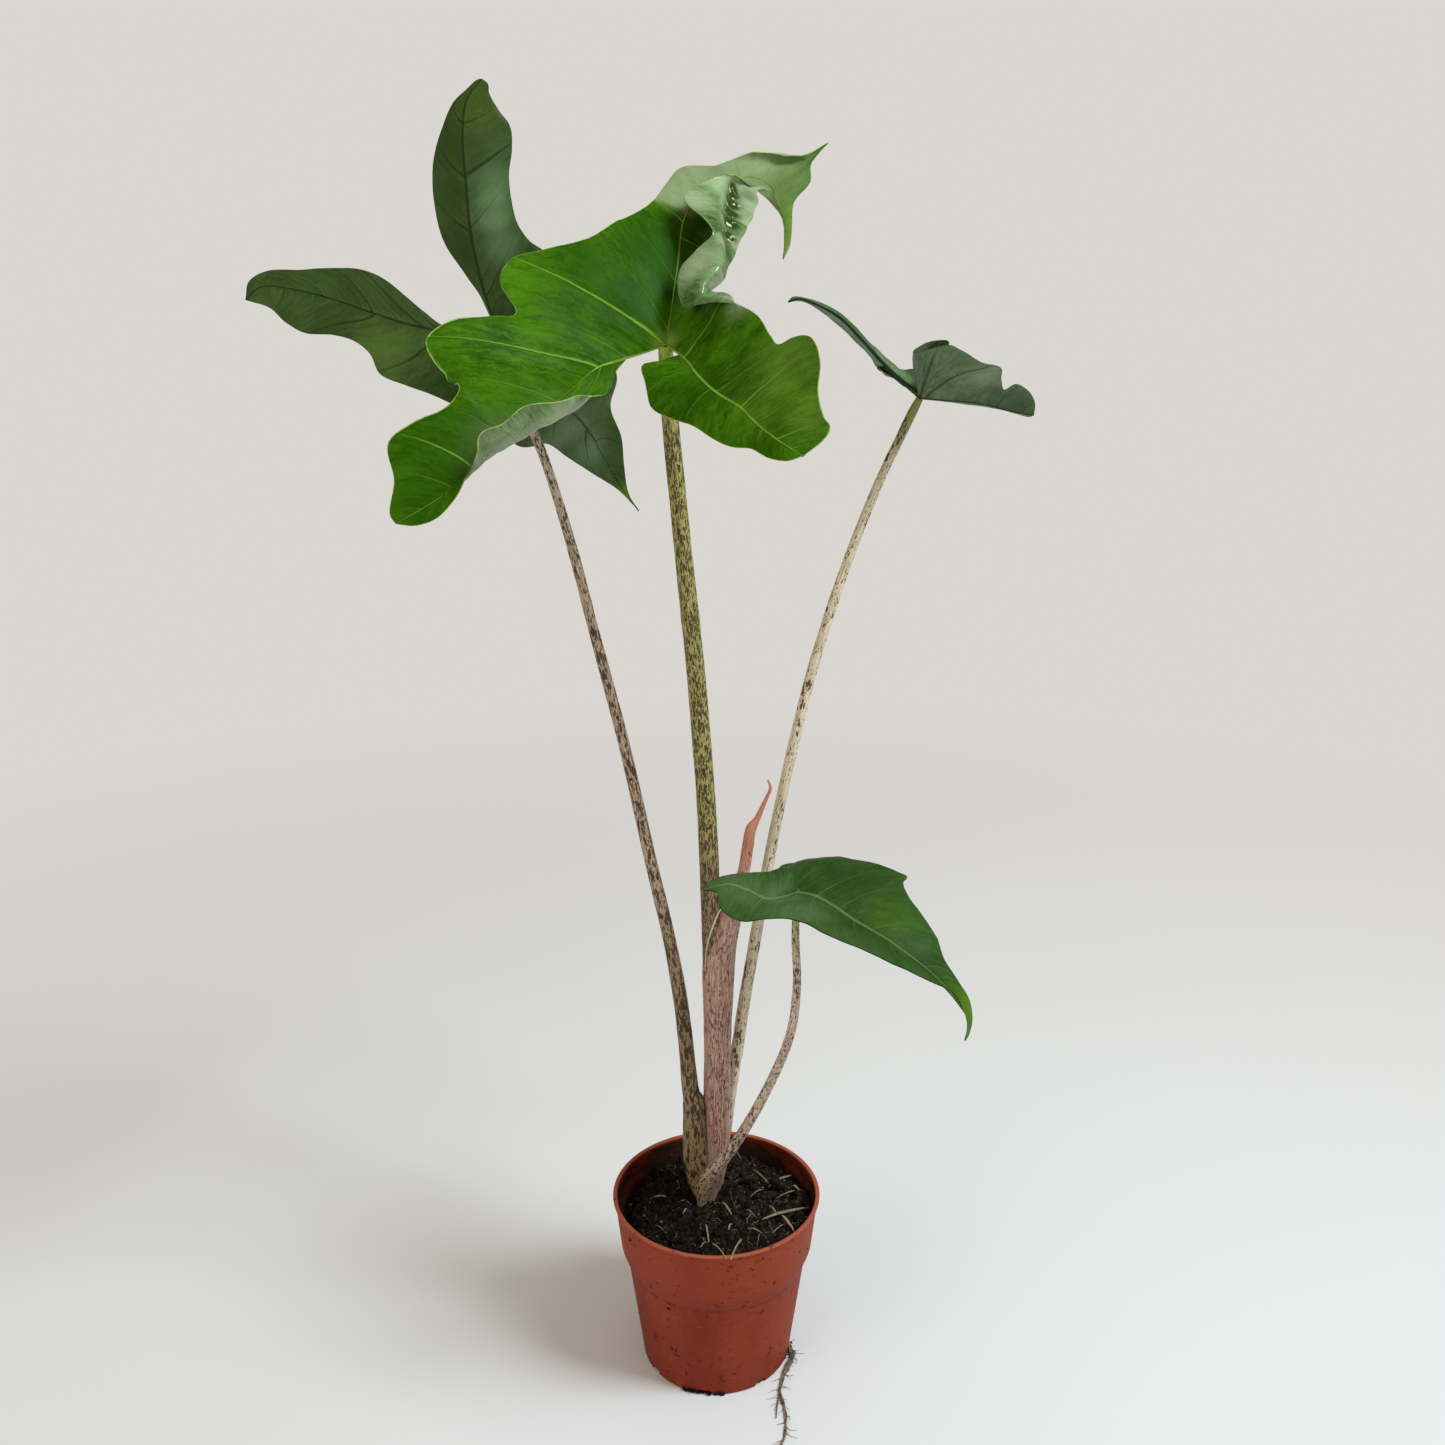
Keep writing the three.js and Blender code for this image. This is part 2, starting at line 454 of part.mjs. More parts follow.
// The blade's middle surface, with the points that its sides share merged
function bladeSurface(leaf) {
  const ribs = {};
  for (const [name, points] of Object.entries(leaf.ribs)) {
    ribs[name] = curveThrough(points.map(seen));
  }
  const points = [];
  const onRib = [];
  const triangles = [];
  const known = new Map();
  const number = (point, isRib) => {
    const key = point.toArray().map((value) => Math.round(value / SHARED_GRID)).join();
    if (!known.has(key)) {
      known.set(key, points.length);
      points.push(point);
      onRib.push(isRib);
    }
    return known.get(key);
  };
  for (const side of leaf.sides) {
    const grid = bladeSide(ribs, side, leaf.steps);
    const numbers = grid.map((row) => row.map((point, j) => number(point, j === 0)));
    for (let i = 0; i + 1 < grid.length; i++) {
      for (let j = 0; j + 1 < grid[0].length; j++) {
        const [a, d] = [numbers[i][j], numbers[i][j + 1]];
        const [b, c] = [numbers[i + 1][j], numbers[i + 1][j + 1]];
        if (a !== b && b !== c && a !== c) triangles.push([a, b, c]);
        if (a !== c && c !== d && a !== d) triangles.push([a, c, d]);
      }
    }
  }
  return { points, onRib, triangles, hub: ribs.front.points[0] };
}

// A blade as a closed solid: both faces have the same triangles, and the ribs stand out below
function blade(leaf) {
  const { points, onRib, triangles, hub } = bladeSurface(leaf);
  const surface = indexedGeometry(points, triangles);
  surface.computeVertexNormals();
  const normals = surface.attributes.normal;
  const half = BLADE_THICKNESS / 2;
  const reach = Math.max(...points.map((point) => point.distanceTo(hub)));
  const vertices = [];
  points.forEach((point, i) => {
    const normal = new THREE.Vector3().fromBufferAttribute(normals, i);
    const ridge = onRib[i] ? RIB_RIDGE * (1 - RIB_TAPER * point.distanceTo(hub) / reach) : 0;
    vertices.push(point.clone().addScaledVector(normal, half));
    vertices.push(point.clone().addScaledVector(normal, -half - ridge));
  });
  const faces = [];
  const open = new Map();
  for (const [a, b, c] of triangles) {
    faces.push([2 * a, 2 * b, 2 * c], [2 * a + 1, 2 * c + 1, 2 * b + 1]);
    for (const [from, to] of [[a, b], [b, c], [c, a]]) {
      if (!open.delete(`${to},${from}`)) open.set(`${from},${to}`, [from, to]);
    }
  }
  for (const [from, to] of open.values()) {
    faces.push([2 * from, 2 * from + 1, 2 * to + 1], [2 * from, 2 * to + 1, 2 * to]);
  }
  return solidOf(indexedGeometry(vertices, faces));
}

// Pot: one moulded wall with a wide rim band and drain notches around its floor

// The wall's outline from the foot to the lip, moved inwards by `inset`
function potOutline(inset) {
  return [
    [POT_BASE_RADIUS, 0],
    [POT_BODY_RADIUS, POT_BODY_TOP],
    [POT_BAND_RADIUS, POT_BAND_BOTTOM],
    [POT_RADIUS - RIM_LIP, POT_HEIGHT - RIM_LIP],
  ].map(([radius, z]) => new THREE.Vector2(radius - inset, z));
}

// The profile turned around the pot's axis, which points up
function lathe(profile) {
  const geometry = new THREE.LatheGeometry(profile, POT_SEGMENTS);
  geometry.rotateX(Math.PI / 2);
  return geometry;
}

function makePot() {
  const outside = potOutline(0);
  const inside = potOutline(POT_WALL).reverse();
  inside.at(-1).y = POT_FLOOR;
  const lip = [
    [POT_RADIUS, POT_HEIGHT - RIM_LIP],
    [POT_RADIUS, POT_HEIGHT],
    [POT_RADIUS - POT_WALL - RIM_LIP, POT_HEIGHT],
  ].map(([radius, z]) => new THREE.Vector2(radius, z));
  const underside = new THREE.Vector2(0, 0);
  const floor = new THREE.Vector2(0, POT_FLOOR);
  let pot = solidOf(lathe([underside, ...outside, ...lip, ...inside.slice(1), floor]));
  for (let k = 0; k < DRAIN_COUNT; k++) {
    const length = POT_BASE_RADIUS - DRAIN_INNER_RADIUS + DRAIN_SPARE;
    const notch = new THREE.BoxGeometry(length, DRAIN_WIDTH, DRAIN_HEIGHT * 2);
    notch.translate(DRAIN_INNER_RADIUS + length / 2, 0, 0);
    notch.rotateZ(DRAIN_TURN + (2 * Math.PI * k) / DRAIN_COUNT);
    pot = pot.subtract(solidOf(notch));
  }
  return pot;
}

// Soil: loose peat that fills the pot, uneven on top and sunk beside the left wall

// Wide and narrow waves, as radians a millimetre along x and y, and how high the narrow ones are
const WIDE_WAVES = [0.31, 0.27];
const NARROW_WAVES = [0.62, 0.55];
const NARROW_SHARE = 0.6;

function soilTop(radius, turn) {
  const x = radius * Math.cos(turn);
  const y = radius * Math.sin(turn);
  const wide = Math.sin(x * WIDE_WAVES[0] + 1.3) * Math.cos(y * WIDE_WAVES[1]);
  const narrow = Math.sin(x * NARROW_WAVES[0] - y * NARROW_WAVES[1] + 2);
  const wallDistance = potInnerRadius(SOIL_LEVEL) - radius;
  const leftness = Math.max(0, Math.cos(turn - SUNK_TURN)) ** 2;
  const sunk = SUNK_DEPTH * leftness * Math.exp(-((wallDistance / SUNK_WIDTH) ** 2));
  return SOIL_LEVEL + SOIL_BUMP * (wide + NARROW_SHARE * narrow) - sunk;
}

function potInnerRadius(z) {
  const wall = potOutline(POT_WALL);
  const above = wall.findIndex((point) => point.y >= z);
  const [low, high] = [wall[above - 1], wall[above]];
  return THREE.MathUtils.mapLinear(z, low.y, high.y, low.x, high.x);
}

// Points around each ring, and the rings of the top as parts of its radius
const SOIL_TURNS = 40;
const SOIL_RINGS = [0.2, 0.4, 0.58, 0.74, 0.87, 0.95, 1];

function makeSoil() {
  const wallHeights = [POT_BAND_BOTTOM, POT_BODY_TOP, POT_FLOOR + GAP];
  const vertices = [new THREE.Vector3(0, 0, soilTop(0, 0))];
  const topRadius = (turn) => potInnerRadius(soilTop(potInnerRadius(SOIL_LEVEL), turn)) - GAP;
  const levels = SOIL_RINGS.map((part) => (turn) => {
    const radius = part * topRadius(turn);
    return [radius, soilTop(radius, turn)];
  });
  levels.push(...wallHeights.map((z) => () => [potInnerRadius(z) - GAP, z]));
  for (const level of levels) {
    for (let k = 0; k < SOIL_TURNS; k++) {
      const turn = (2 * Math.PI * k) / SOIL_TURNS;
      const [radius, z] = level(turn);
      vertices.push(new THREE.Vector3(radius * Math.cos(turn), radius * Math.sin(turn), z));
    }
  }
  vertices.push(new THREE.Vector3(0, 0, POT_FLOOR + GAP));
  const triangles = [];
  for (let k = 0; k < SOIL_TURNS; k++) {
    const next = (k + 1) % SOIL_TURNS;
    triangles.push([0, 1 + k, 1 + next]);
    for (let level = 0; level + 1 < levels.length; level++) {
      const a = 1 + level * SOIL_TURNS;
      const b = a + SOIL_TURNS;
      triangles.push([a + k, b + k, b + next], [a + k, b + next, a + next]);
    }
    const lowest = 1 + (levels.length - 1) * SOIL_TURNS;
    triangles.push([lowest + next, lowest + k, vertices.length - 1]);
  }
  return solidOf(indexedGeometry(vertices, triangles));
}

// Root: two strands that leave one drain notch and lie on the surface, thinner towards their ends
function makeRoot(extra = 0) {
  const strand = (list, radius) => {
    const points = list.map((spot) => seenAtHeight(spot, radius + ROOT_CLEARANCE));
    const widths = points.map((_, i) => {
      const thin = radius * (1 - ROOT_TAPER * (i / (points.length - 1)) ** 2);
      return [thin, thin];
    });
    return solidOf(sweep(points, widths, ROOT_SIDES, extra, new THREE.Vector3(0, 0, 1)));
  };
  return strand(ROOT_MAIN, ROOT_RADIUS).add(strand(ROOT_SIDE, ROOT_SIDE_RADIUS));
}

// Assembly: what grows in front cuts the neighbour behind it, so that the bases nest with a gap

const room = (list) => stem(list, CUT_GAP);

function cutBy(list, ...rooms) {
  return rooms.reduce((solid, space) => solid.subtract(space), stem(list));
}

// What is left of a stem under its blade, with a gap between them in every direction
function underBlade(solid, leaf) {
  const whole = blade(leaf);
  let under = solid.subtract(whole);
  for (const axis of [0, 1, 2]) {
    for (const shift of [-CUT_GAP, CUT_GAP]) {
      const offset = [0, 0, 0];
      offset[axis] = shift;
      under = under.subtract(whole.translate(offset));
    }
  }
  return mainPiece(under);
}

const wrapped = stem(CENTRE_STEM, CUT_GAP + SHEATH_WALL);
const centreStem = stem(CENTRE_STEM);
const frontStem = cutBy(FRONT_STEM, wrapped);
const leftStem = cutBy(LEFT_STEM, wrapped, room(FRONT_STEM));
const cataphyll = cutBy(CATAPHYLL, room(CENTRE_STEM), room(FRONT_STEM), room(LEFT_STEM));
const rightStem = cutBy(RIGHT_STEM, room(CATAPHYLL), room(LEFT_STEM));

const soil = [CENTRE_STEM, FRONT_STEM, LEFT_STEM, CATAPHYLL, RIGHT_STEM].reduce(
  (solid, list) => solid.subtract(room(list)),
  makeSoil().subtract(makeRoot(CUT_GAP)),
);

const looks = {
  terracotta: { color: 0xb0523c, roughness: 0.6, metalness: 0 },
  peat: { color: 0x2a1c16, roughness: 1, metalness: 0 },
  brightGreen: { color: 0x2f7a12, roughness: 0.35, metalness: 0 },
  deepGreen: { color: 0x2c5a2c, roughness: 0.45, metalness: 0 },
  greyGreen: { color: 0x4a6a4a, roughness: 0.55, metalness: 0 },
  blotchedBeige: { color: 0xa88c74, roughness: 0.6, metalness: 0 },
  speckledOlive: { color: 0x857a3c, roughness: 0.6, metalness: 0 },
  paleCream: { color: 0xbfb08a, roughness: 0.6, metalness: 0 },
  dustyPink: { color: 0xb98f86, roughness: 0.6, metalness: 0 },
  rootBrown: { color: 0x6f5a42, roughness: 0.9, metalness: 0 },
};

const plant = new THREE.Group();

function place(name, solid, look) {
  const mesh = new THREE.Mesh(geometryOf(solid), new THREE.MeshStandardMaterial(looks[look]));
  mesh.name = name;
  plant.add(mesh);
}

place("pot", makePot(), "terracotta");
place("soil", mainPiece(soil), "peat");
place("root", mainPiece(makeRoot()), "rootBrown");
place("stem_left", underBlade(leftStem, LEFT_LEAF), "blotchedBeige");
place("stem_centre", underBlade(centreStem, CENTRE_LEAF), "speckledOlive");
place("stem_right", underBlade(rightStem, RIGHT_LEAF), "paleCream");
place("stem_front", underBlade(frontStem, FRONT_LEAF), "blotchedBeige");
place("cataphyll", mainPiece(cataphyll), "dustyPink");
place("leaf_left", blade(LEFT_LEAF), "greyGreen");
place("leaf_centre", blade(CENTRE_LEAF), "brightGreen");
place("leaf_right", blade(RIGHT_LEAF), "greyGreen");
place("leaf_front", blade(FRONT_LEAF), "deepGreen");

export default plant;
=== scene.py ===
# %% [markdown]
# # A potted Alocasia nycteris
# Four bat-shaped leaves stand on mottled stems in a small nursery pot. The construction is already
# there as a frame of plain solids. This lesson dresses it: every leaf, stem and clod of peat is a
# surface worked out as arrays, and every finish is made of shader nodes.

# %% Load the frame
import math

import bpy
import numpy as np
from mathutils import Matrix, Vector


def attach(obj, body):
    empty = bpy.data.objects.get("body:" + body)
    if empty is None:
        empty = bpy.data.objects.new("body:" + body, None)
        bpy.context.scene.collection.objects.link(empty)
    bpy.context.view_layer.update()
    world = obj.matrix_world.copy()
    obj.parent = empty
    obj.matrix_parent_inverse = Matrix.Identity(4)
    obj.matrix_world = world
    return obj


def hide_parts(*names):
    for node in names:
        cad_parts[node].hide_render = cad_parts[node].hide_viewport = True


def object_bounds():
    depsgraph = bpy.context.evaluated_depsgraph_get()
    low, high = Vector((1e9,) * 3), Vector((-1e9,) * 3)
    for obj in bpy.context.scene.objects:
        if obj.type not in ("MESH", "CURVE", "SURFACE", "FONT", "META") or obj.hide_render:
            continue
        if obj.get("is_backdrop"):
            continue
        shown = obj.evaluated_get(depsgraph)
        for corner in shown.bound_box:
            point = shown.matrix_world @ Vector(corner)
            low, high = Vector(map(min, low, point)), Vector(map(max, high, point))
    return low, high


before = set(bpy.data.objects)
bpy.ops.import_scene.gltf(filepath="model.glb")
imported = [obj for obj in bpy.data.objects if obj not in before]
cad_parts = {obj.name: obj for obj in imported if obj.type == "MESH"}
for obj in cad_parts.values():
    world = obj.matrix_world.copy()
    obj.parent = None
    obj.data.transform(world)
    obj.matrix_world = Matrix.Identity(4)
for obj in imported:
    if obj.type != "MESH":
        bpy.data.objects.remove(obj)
cad_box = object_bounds()
print("solids in the frame:", len(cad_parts))

# %% [markdown]
# ## The camera comes first
# The camera stands where the photographer stood, so that a spot of the picture and the distance
# behind the pot's axis together give a point in space. Lengths are in millimetres until a mesh is
# made. The picture is taken to be 1445 units wide.

# %% The camera
MM = 0.001
TURN = 2 * math.pi
PICTURE_CENTRE = 722.5
FOCAL_LENGTH = 1330.7
SENSOR_WIDTH = 36.0
CAMERA_PITCH = math.radians(16.1)
CAMERA_PLACE = np.array([3.58, -669.25, 581.65])


def put(name, data):
    """An object with this data, linked into the scene."""
    made = bpy.data.objects.new(name, data)
    bpy.context.scene.collection.objects.link(made)
    return made


bpy.context.scene.view_settings.view_transform = "Standard"
camera = put("camera", bpy.data.cameras.new("camera"))
camera.data.sensor_width = SENSOR_WIDTH
camera.data.lens = SENSOR_WIDTH * FOCAL_LENGTH / (2 * PICTURE_CENTRE)
camera.location = CAMERA_PLACE * MM
camera.rotation_euler = (math.pi / 2 - CAMERA_PITCH, 0, 0)
bpy.context.scene.camera = camera
print("lens:", round(camera.data.lens, 2), "mm")


# %% From the picture to space
def sight_lines(spots):
    """Directions through [across, down] in the picture: right, forwards and up, turned down by the pitch."""
    rise = (PICTURE_CENTRE - spots[..., 1]) / FOCAL_LENGTH
    turn = (spots[..., 0] - PICTURE_CENTRE) / FOCAL_LENGTH
    cos, sin = math.cos(CAMERA_PITCH), math.sin(CAMERA_PITCH)
    return np.stack([turn, cos + rise * sin, rise * cos - sin], axis=-1)


def seen(spots):
    """Points at [across, down, away]: the sight line, run on until it is `away` behind the pot's axis."""
    lines = sight_lines(spots)
    reach = (spots[..., 2] - CAMERA_PLACE[1]) / lines[..., 1]
    return CAMERA_PLACE + lines * reach[..., None]


def seen_at_height(spots, height):
    """Points at [across, down]: the sight line, run on until it is at this height."""
    lines = sight_lines(spots)
    reach = (height - CAMERA_PLACE[2]) / lines[..., 2]
    return CAMERA_PLACE + lines * reach[..., None]


# %% [markdown]
# ## Tables of numbers
# A grown shape has no formula for its outline, so its spots are noted down in tables, as a maker
# would measure them. The tables are plain text, which is shorter than nested lists.

# %% Reading a table
def rows(text):
    """Lists of numbers: spaces part the rows, and commas the numbers of a row."""
    return [[float(number) for number in row.split(",")] for row in text.split()]


def table(text):
    return np.array(rows(text))


def stations(text):
    """Slashes part the stations. Each is its place on a rib and then the spots from there to the margin."""
    return [(float(place), table(" ".join(spots))) for place, *spots in map(str.split, text.split("/"))]


# %% [markdown]
# ## One smooth curve for everything
# Ribs, margins and stems all follow a Catmull-Rom curve, which passes through each of its points.
# The centripetal kind takes the square root of each gap as its pace, so it never loops in a tight
# bend. Given many curves at once, as an array, it works them all out together.

# %% A curve through points
NO_PACE = 1e-4


def smooth_curve(points, places):
    """Cubic from each point to the next, its end slopes taken from the neighbours and their gaps."""
    places = np.clip(places, 0, len(points) - 1)
    start = np.clip(np.floor(places).astype(int), 0, len(points) - 2)
    part = (places - start).reshape((-1,) + (1,) * (points.ndim - 1))
    whole = np.concatenate([2 * points[:1] - points[1:2], points, 2 * points[-1:] - points[-2:-1]])
    p0, p1, p2, p3 = (whole[start + k] for k in range(4))
    first, middle, last = (
        np.sqrt(np.linalg.norm(b - a, axis=-1, keepdims=True)) for a, b in ((p0, p1), (p1, p2), (p2, p3)))
    middle = np.where(middle < NO_PACE, 1.0, middle)
    first, last = (np.where(pace < NO_PACE, middle, pace) for pace in (first, last))
    slope_1 = ((p1 - p0) / first - (p2 - p0) / (first + middle) + (p2 - p1) / middle) * middle
    slope_2 = ((p2 - p1) / middle - (p3 - p1) / (middle + last) + (p3 - p2) / last) * middle
    square = -3 * p1 + 3 * p2 - 2 * slope_1 - slope_2
    cube = 2 * p1 - 2 * p2 + slope_1 + slope_2
    return p1 + part * slope_1 + part**2 * square + part**3 * cube


def run_along(points):
    """The distance from a line's first point to each of its points, along the line: a sum of the gaps."""
    steps = np.linalg.norm(np.diff(points, axis=-2), axis=-1)
    return np.concatenate([0 * steps[..., :1], np.cumsum(steps, axis=-1)], axis=-1)


def unit(vectors, least=1e-9):
    """Each vector over its own length."""
    return vectors / np.maximum(np.linalg.norm(vectors, axis=-1, keepdims=True), least)


def patches(across, down, cell, seed):
    """Smooth random height from -1 to 1: random values on a square lattice, eased from one to the next."""
    size = 256
    lattice = np.random.default_rng(seed).uniform(-1, 1, (size, size))
    x, y = np.asarray(across) / cell, np.asarray(down) / cell
    column, row = np.floor(x).astype(int), np.floor(y).astype(int)
    u, v = x - column, y - row
    u, v = u * u * (3 - 2 * u), v * v * (3 - 2 * v)
    corner = lambda i, j: lattice[(column + i) % size, (row + j) % size]
    top = corner(0, 0) * (1 - u) + corner(1, 0) * u
    bottom = corner(0, 1) * (1 - u) + corner(1, 1) * u
    return top * (1 - v) + bottom * v


# %% [markdown]
# ## From arrays to a mesh
# Blender takes whole arrays with foreach_set, which is much quicker than adding one vertex at a
# time. A field is a value that the material reads back by name, such as how far a spot is from
# the margin. It is stored for each corner where two neighbours differ, and else for each vertex.

# %% Making a piece
def make_piece(name, node, slot, points, faces, materials, face_materials=None, **fields):
    """A mesh object from points in mm and a list of face arrays, set in for a solid of the frame."""
    mesh = bpy.data.meshes.new(name)
    corners = np.concatenate([part.ravel() for part in faces]).astype(np.int32)
    sizes = np.concatenate([np.full(len(part), part.shape[1]) for part in faces])
    starts = np.concatenate([[0], np.cumsum(sizes)[:-1]]).astype(np.int32)
    mesh.vertices.add(len(points))
    mesh.vertices.foreach_set("co", (points * MM).astype(np.float32).ravel())
    mesh.loops.add(len(corners))
    mesh.loops.foreach_set("vertex_index", corners)
    mesh.polygons.add(len(sizes))
    mesh.polygons.foreach_set("loop_start", starts)
    mesh.polygons.foreach_set("use_smooth", np.ones(len(sizes), bool))
    for material in materials:
        mesh.materials.append(material)
    if face_materials is not None:
        mesh.polygons.foreach_set("material_index", face_materials.astype(np.int32))
    mesh.update(calc_edges=True)
    for title, values in fields.items():
        domain = "POINT" if len(values) == len(points) else "CORNER"
        kind, key = ("FLOAT_VECTOR", "vector") if values.ndim == 2 else ("FLOAT", "value")
        mesh.attributes.new(title, kind, domain).data.foreach_set(key, values.astype(np.float32).ravel())
    mesh.validate()
    piece = put(name, mesh)
    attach(piece, "root")
    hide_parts(node)
    print(name, "has", len(points), "vertices")
    return piece


def vertex_normals(points, triangles):
    """The sum of each vertex's triangle normals, weighted by area, made one unit long."""
    a, b, c = (points[triangles[:, k]] for k in range(3))
    across = np.cross(b - a, c - a)
    total = np.zeros_like(points)
    for k in range(3):
        np.add.at(total, triangles[:, k], across)
    return unit(total, 1e-12)


# %% [markdown]
# ## Sums instead of shader nodes
# A material is a graph of nodes. Two small classes make it read like a sum: a Wire is what comes
# out of a node, and adding or multiplying wires makes the Math node that does so.

# %% Graphs of shader nodes
class Wire:
    """What comes out of a node of a graph."""

    def __init__(self, graph, socket):
        self.graph, self.socket = graph, socket

    def __add__(self, other):
        return self.graph.math("ADD", self, other)

    def __sub__(self, other):
        return self.graph.math("SUBTRACT", self, other)

    def __rsub__(self, other):
        return self.graph.math("SUBTRACT", other, self)

    def __mul__(self, other):
        return self.graph.math("MULTIPLY", self, other)

    __radd__, __rmul__ = __add__, __mul__

    def ease(self, start, end):
        """0 up to start, 1 from end on, and a soft step in between. Start may be the larger one."""
        inputs = {"Value": self, "From Min": start, "From Max": end}
        return self.graph.add("ShaderNodeMapRange", inputs, interpolation_type="SMOOTHSTEP")


class Graph:
    """A tree of nodes, with short names for the nodes that this plant needs."""

    def __init__(self, tree):
        self.tree = tree

    def plug(self, socket, value):
        """Links a wire to an input, or sets the input to a number, a vector or a colour."""
        if isinstance(value, Wire):
            self.tree.links.new(value.socket, socket)
        else:
            socket.default_value = (*value, 1) if socket.type == "RGBA" else value

    def add(self, kind, inputs=None, output=0, **settings):
        node = self.tree.nodes.new(kind)
        for key, value in settings.items():
            setattr(node, key, value)
        for key, value in (inputs or {}).items():
            self.plug(node.inputs[key], value)
        return node if output is None else Wire(self, node.outputs[output])

    def math(self, operation, a, b=0.0):
        return self.add("ShaderNodeMath", {0: a, 1: b}, operation=operation)

    def mix(self, share, a, b):
        return self.add("ShaderNodeMix", {"Factor": share, 6: a, 7: b}, output=2, data_type="RGBA")

    def coats(self, colour, *coats):
        """A colour with others laid over it in turn, each given as its share and itself."""
        for share, tone in coats:
            colour = self.mix(share, colour, tone)
        return colour

    def field(self, name, output="Vector"):
        return self.add("ShaderNodeAttribute", output=output, attribute_name=name)

    def parts(self, vector):
        node = self.add("ShaderNodeSeparateXYZ", {0: vector}, output=None)
        return [Wire(self, socket) for socket in node.outputs]

    def join(self, x, y, z=0.0):
        return self.add("ShaderNodeCombineXYZ", {0: x, 1: y, 2: z})

    def vector(self, operation, inputs, output=0):
        return self.add("ShaderNodeVectorMath", inputs, output=output, operation=operation)

    def spot(self, scale=(1, 1, 1)):
        """Object coordinates, stretched."""
        coordinates = self.add("ShaderNodeTexCoord", output="Object")
        return self.add("ShaderNodeMapping", {"Vector": coordinates, "Scale": scale})

    def noise(self, vector, scale, detail=3.0, roughness=0.55, output=0):
        inputs = {"Vector": vector, "Scale": scale, "Detail": detail, "Roughness": roughness}
        return self.add("ShaderNodeTexNoise", inputs, output)

    def group(self, tree, inputs):
        node = self.add("ShaderNodeGroup", inputs, output=None, node_tree=tree)
        return {socket.name: Wire(self, socket) for socket in node.outputs}

    def bump(self, height, distance):
        return self.add("ShaderNodeBump", {"Height": height, "Distance": distance, "Strength": 1.0})


def shared_effect(name, inputs, build):
    """A node group. Its inputs are numbers with these defaults, and build works its outputs out from them."""
    tree = bpy.data.node_groups.new(name, "ShaderNodeTree")
    for title, value in inputs.items():
        tree.interface.new_socket(title, in_out="INPUT", socket_type="NodeSocketFloat").default_value = value
    graph = Graph(tree)
    entry = graph.add("NodeGroupInput", output=None)
    made = build(graph, *(Wire(graph, entry.outputs[title]) for title in inputs))
    for title in made:
        tree.interface.new_socket(title, in_out="OUTPUT", socket_type="NodeSocketFloat")
    leave = graph.add("NodeGroupOutput", output=None)
    for title, wire in made.items():
        graph.plug(leave.inputs[title], wire)
    return tree


def finish_of(name, build, **constants):
    """A material. Build gives the Principled BSDF's linked inputs, and constants are its plain ones."""
    material = bpy.data.materials.new(name)
    material.use_nodes = True
    graph = Graph(material.node_tree)
    principled = material.node_tree.nodes["Principled BSDF"]
    plain = {key.replace("_", " "): value for key, value in constants.items()}
    for key, value in (plain | build(graph)).items():
        graph.plug(principled.inputs[key], value)
    return material


# %% [markdown]
# ## Veins as a shared effect
# A leaf's side carries a field that numbers its veins: 0 on the first, 1 on the second, and so on.
# Its distance from the nearest whole number, times the gap between veins, is the distance to the
# nearest vein in mm, however coarse the mesh is. The ribs and the margin have plain distances.

# %% The vein group
def build_veins(graph, rib_width, vein_width, margin_width):
    """Ribs, veins and margin are soft steps of the distance to them. Streaks are a noise along the veins."""
    number, gap, weight = graph.parts(graph.field("veins"))
    to_rib, to_margin, strength = graph.parts(graph.field("blade"))
    wobble = graph.noise(graph.spot(), 220.0, detail=2.0) - 0.5
    distance = graph.math("ABSOLUTE", number - graph.math("ROUND", number)) * gap + wobble * 0.5
    rib_width = rib_width * (strength * 0.75 + 0.25)
    ribs = to_rib.ease(rib_width, rib_width * 0.45)
    vein_width = vein_width * (weight * 1.2 + 0.25)
    veins = distance.ease(vein_width, vein_width * 0.2) * weight.ease(0.0, 0.55)
    along_vein = graph.join(number * 9.0 + wobble * 2.5, to_rib * 0.08)
    streaks = graph.noise(along_vein, 1.0, detail=4.0, roughness=0.68)
    margin = (to_margin + wobble).ease(margin_width, 0.0)
    height = graph.math("MAXIMUM", ribs * 0.8, veins * 0.6) + streaks * 0.4
    return {"Ribs": ribs, "Veins": veins, "Streaks": streaks, "Margin": margin, "Height": height}


VEINS = shared_effect("leaf veins", {"Rib Width": 1.6, "Vein Width": 0.9, "Margin Width": 0.5}, build_veins)


# %% [markdown]
# ## Leaf finishes
# The centre leaf is bright green with pale veins. Its lower face, which shows where the margin
# rolls up, is a waxy grey-green with small bright glints. The left and right leaves show their
# lower faces too, dull and with dark veins, because the light comes through from behind.

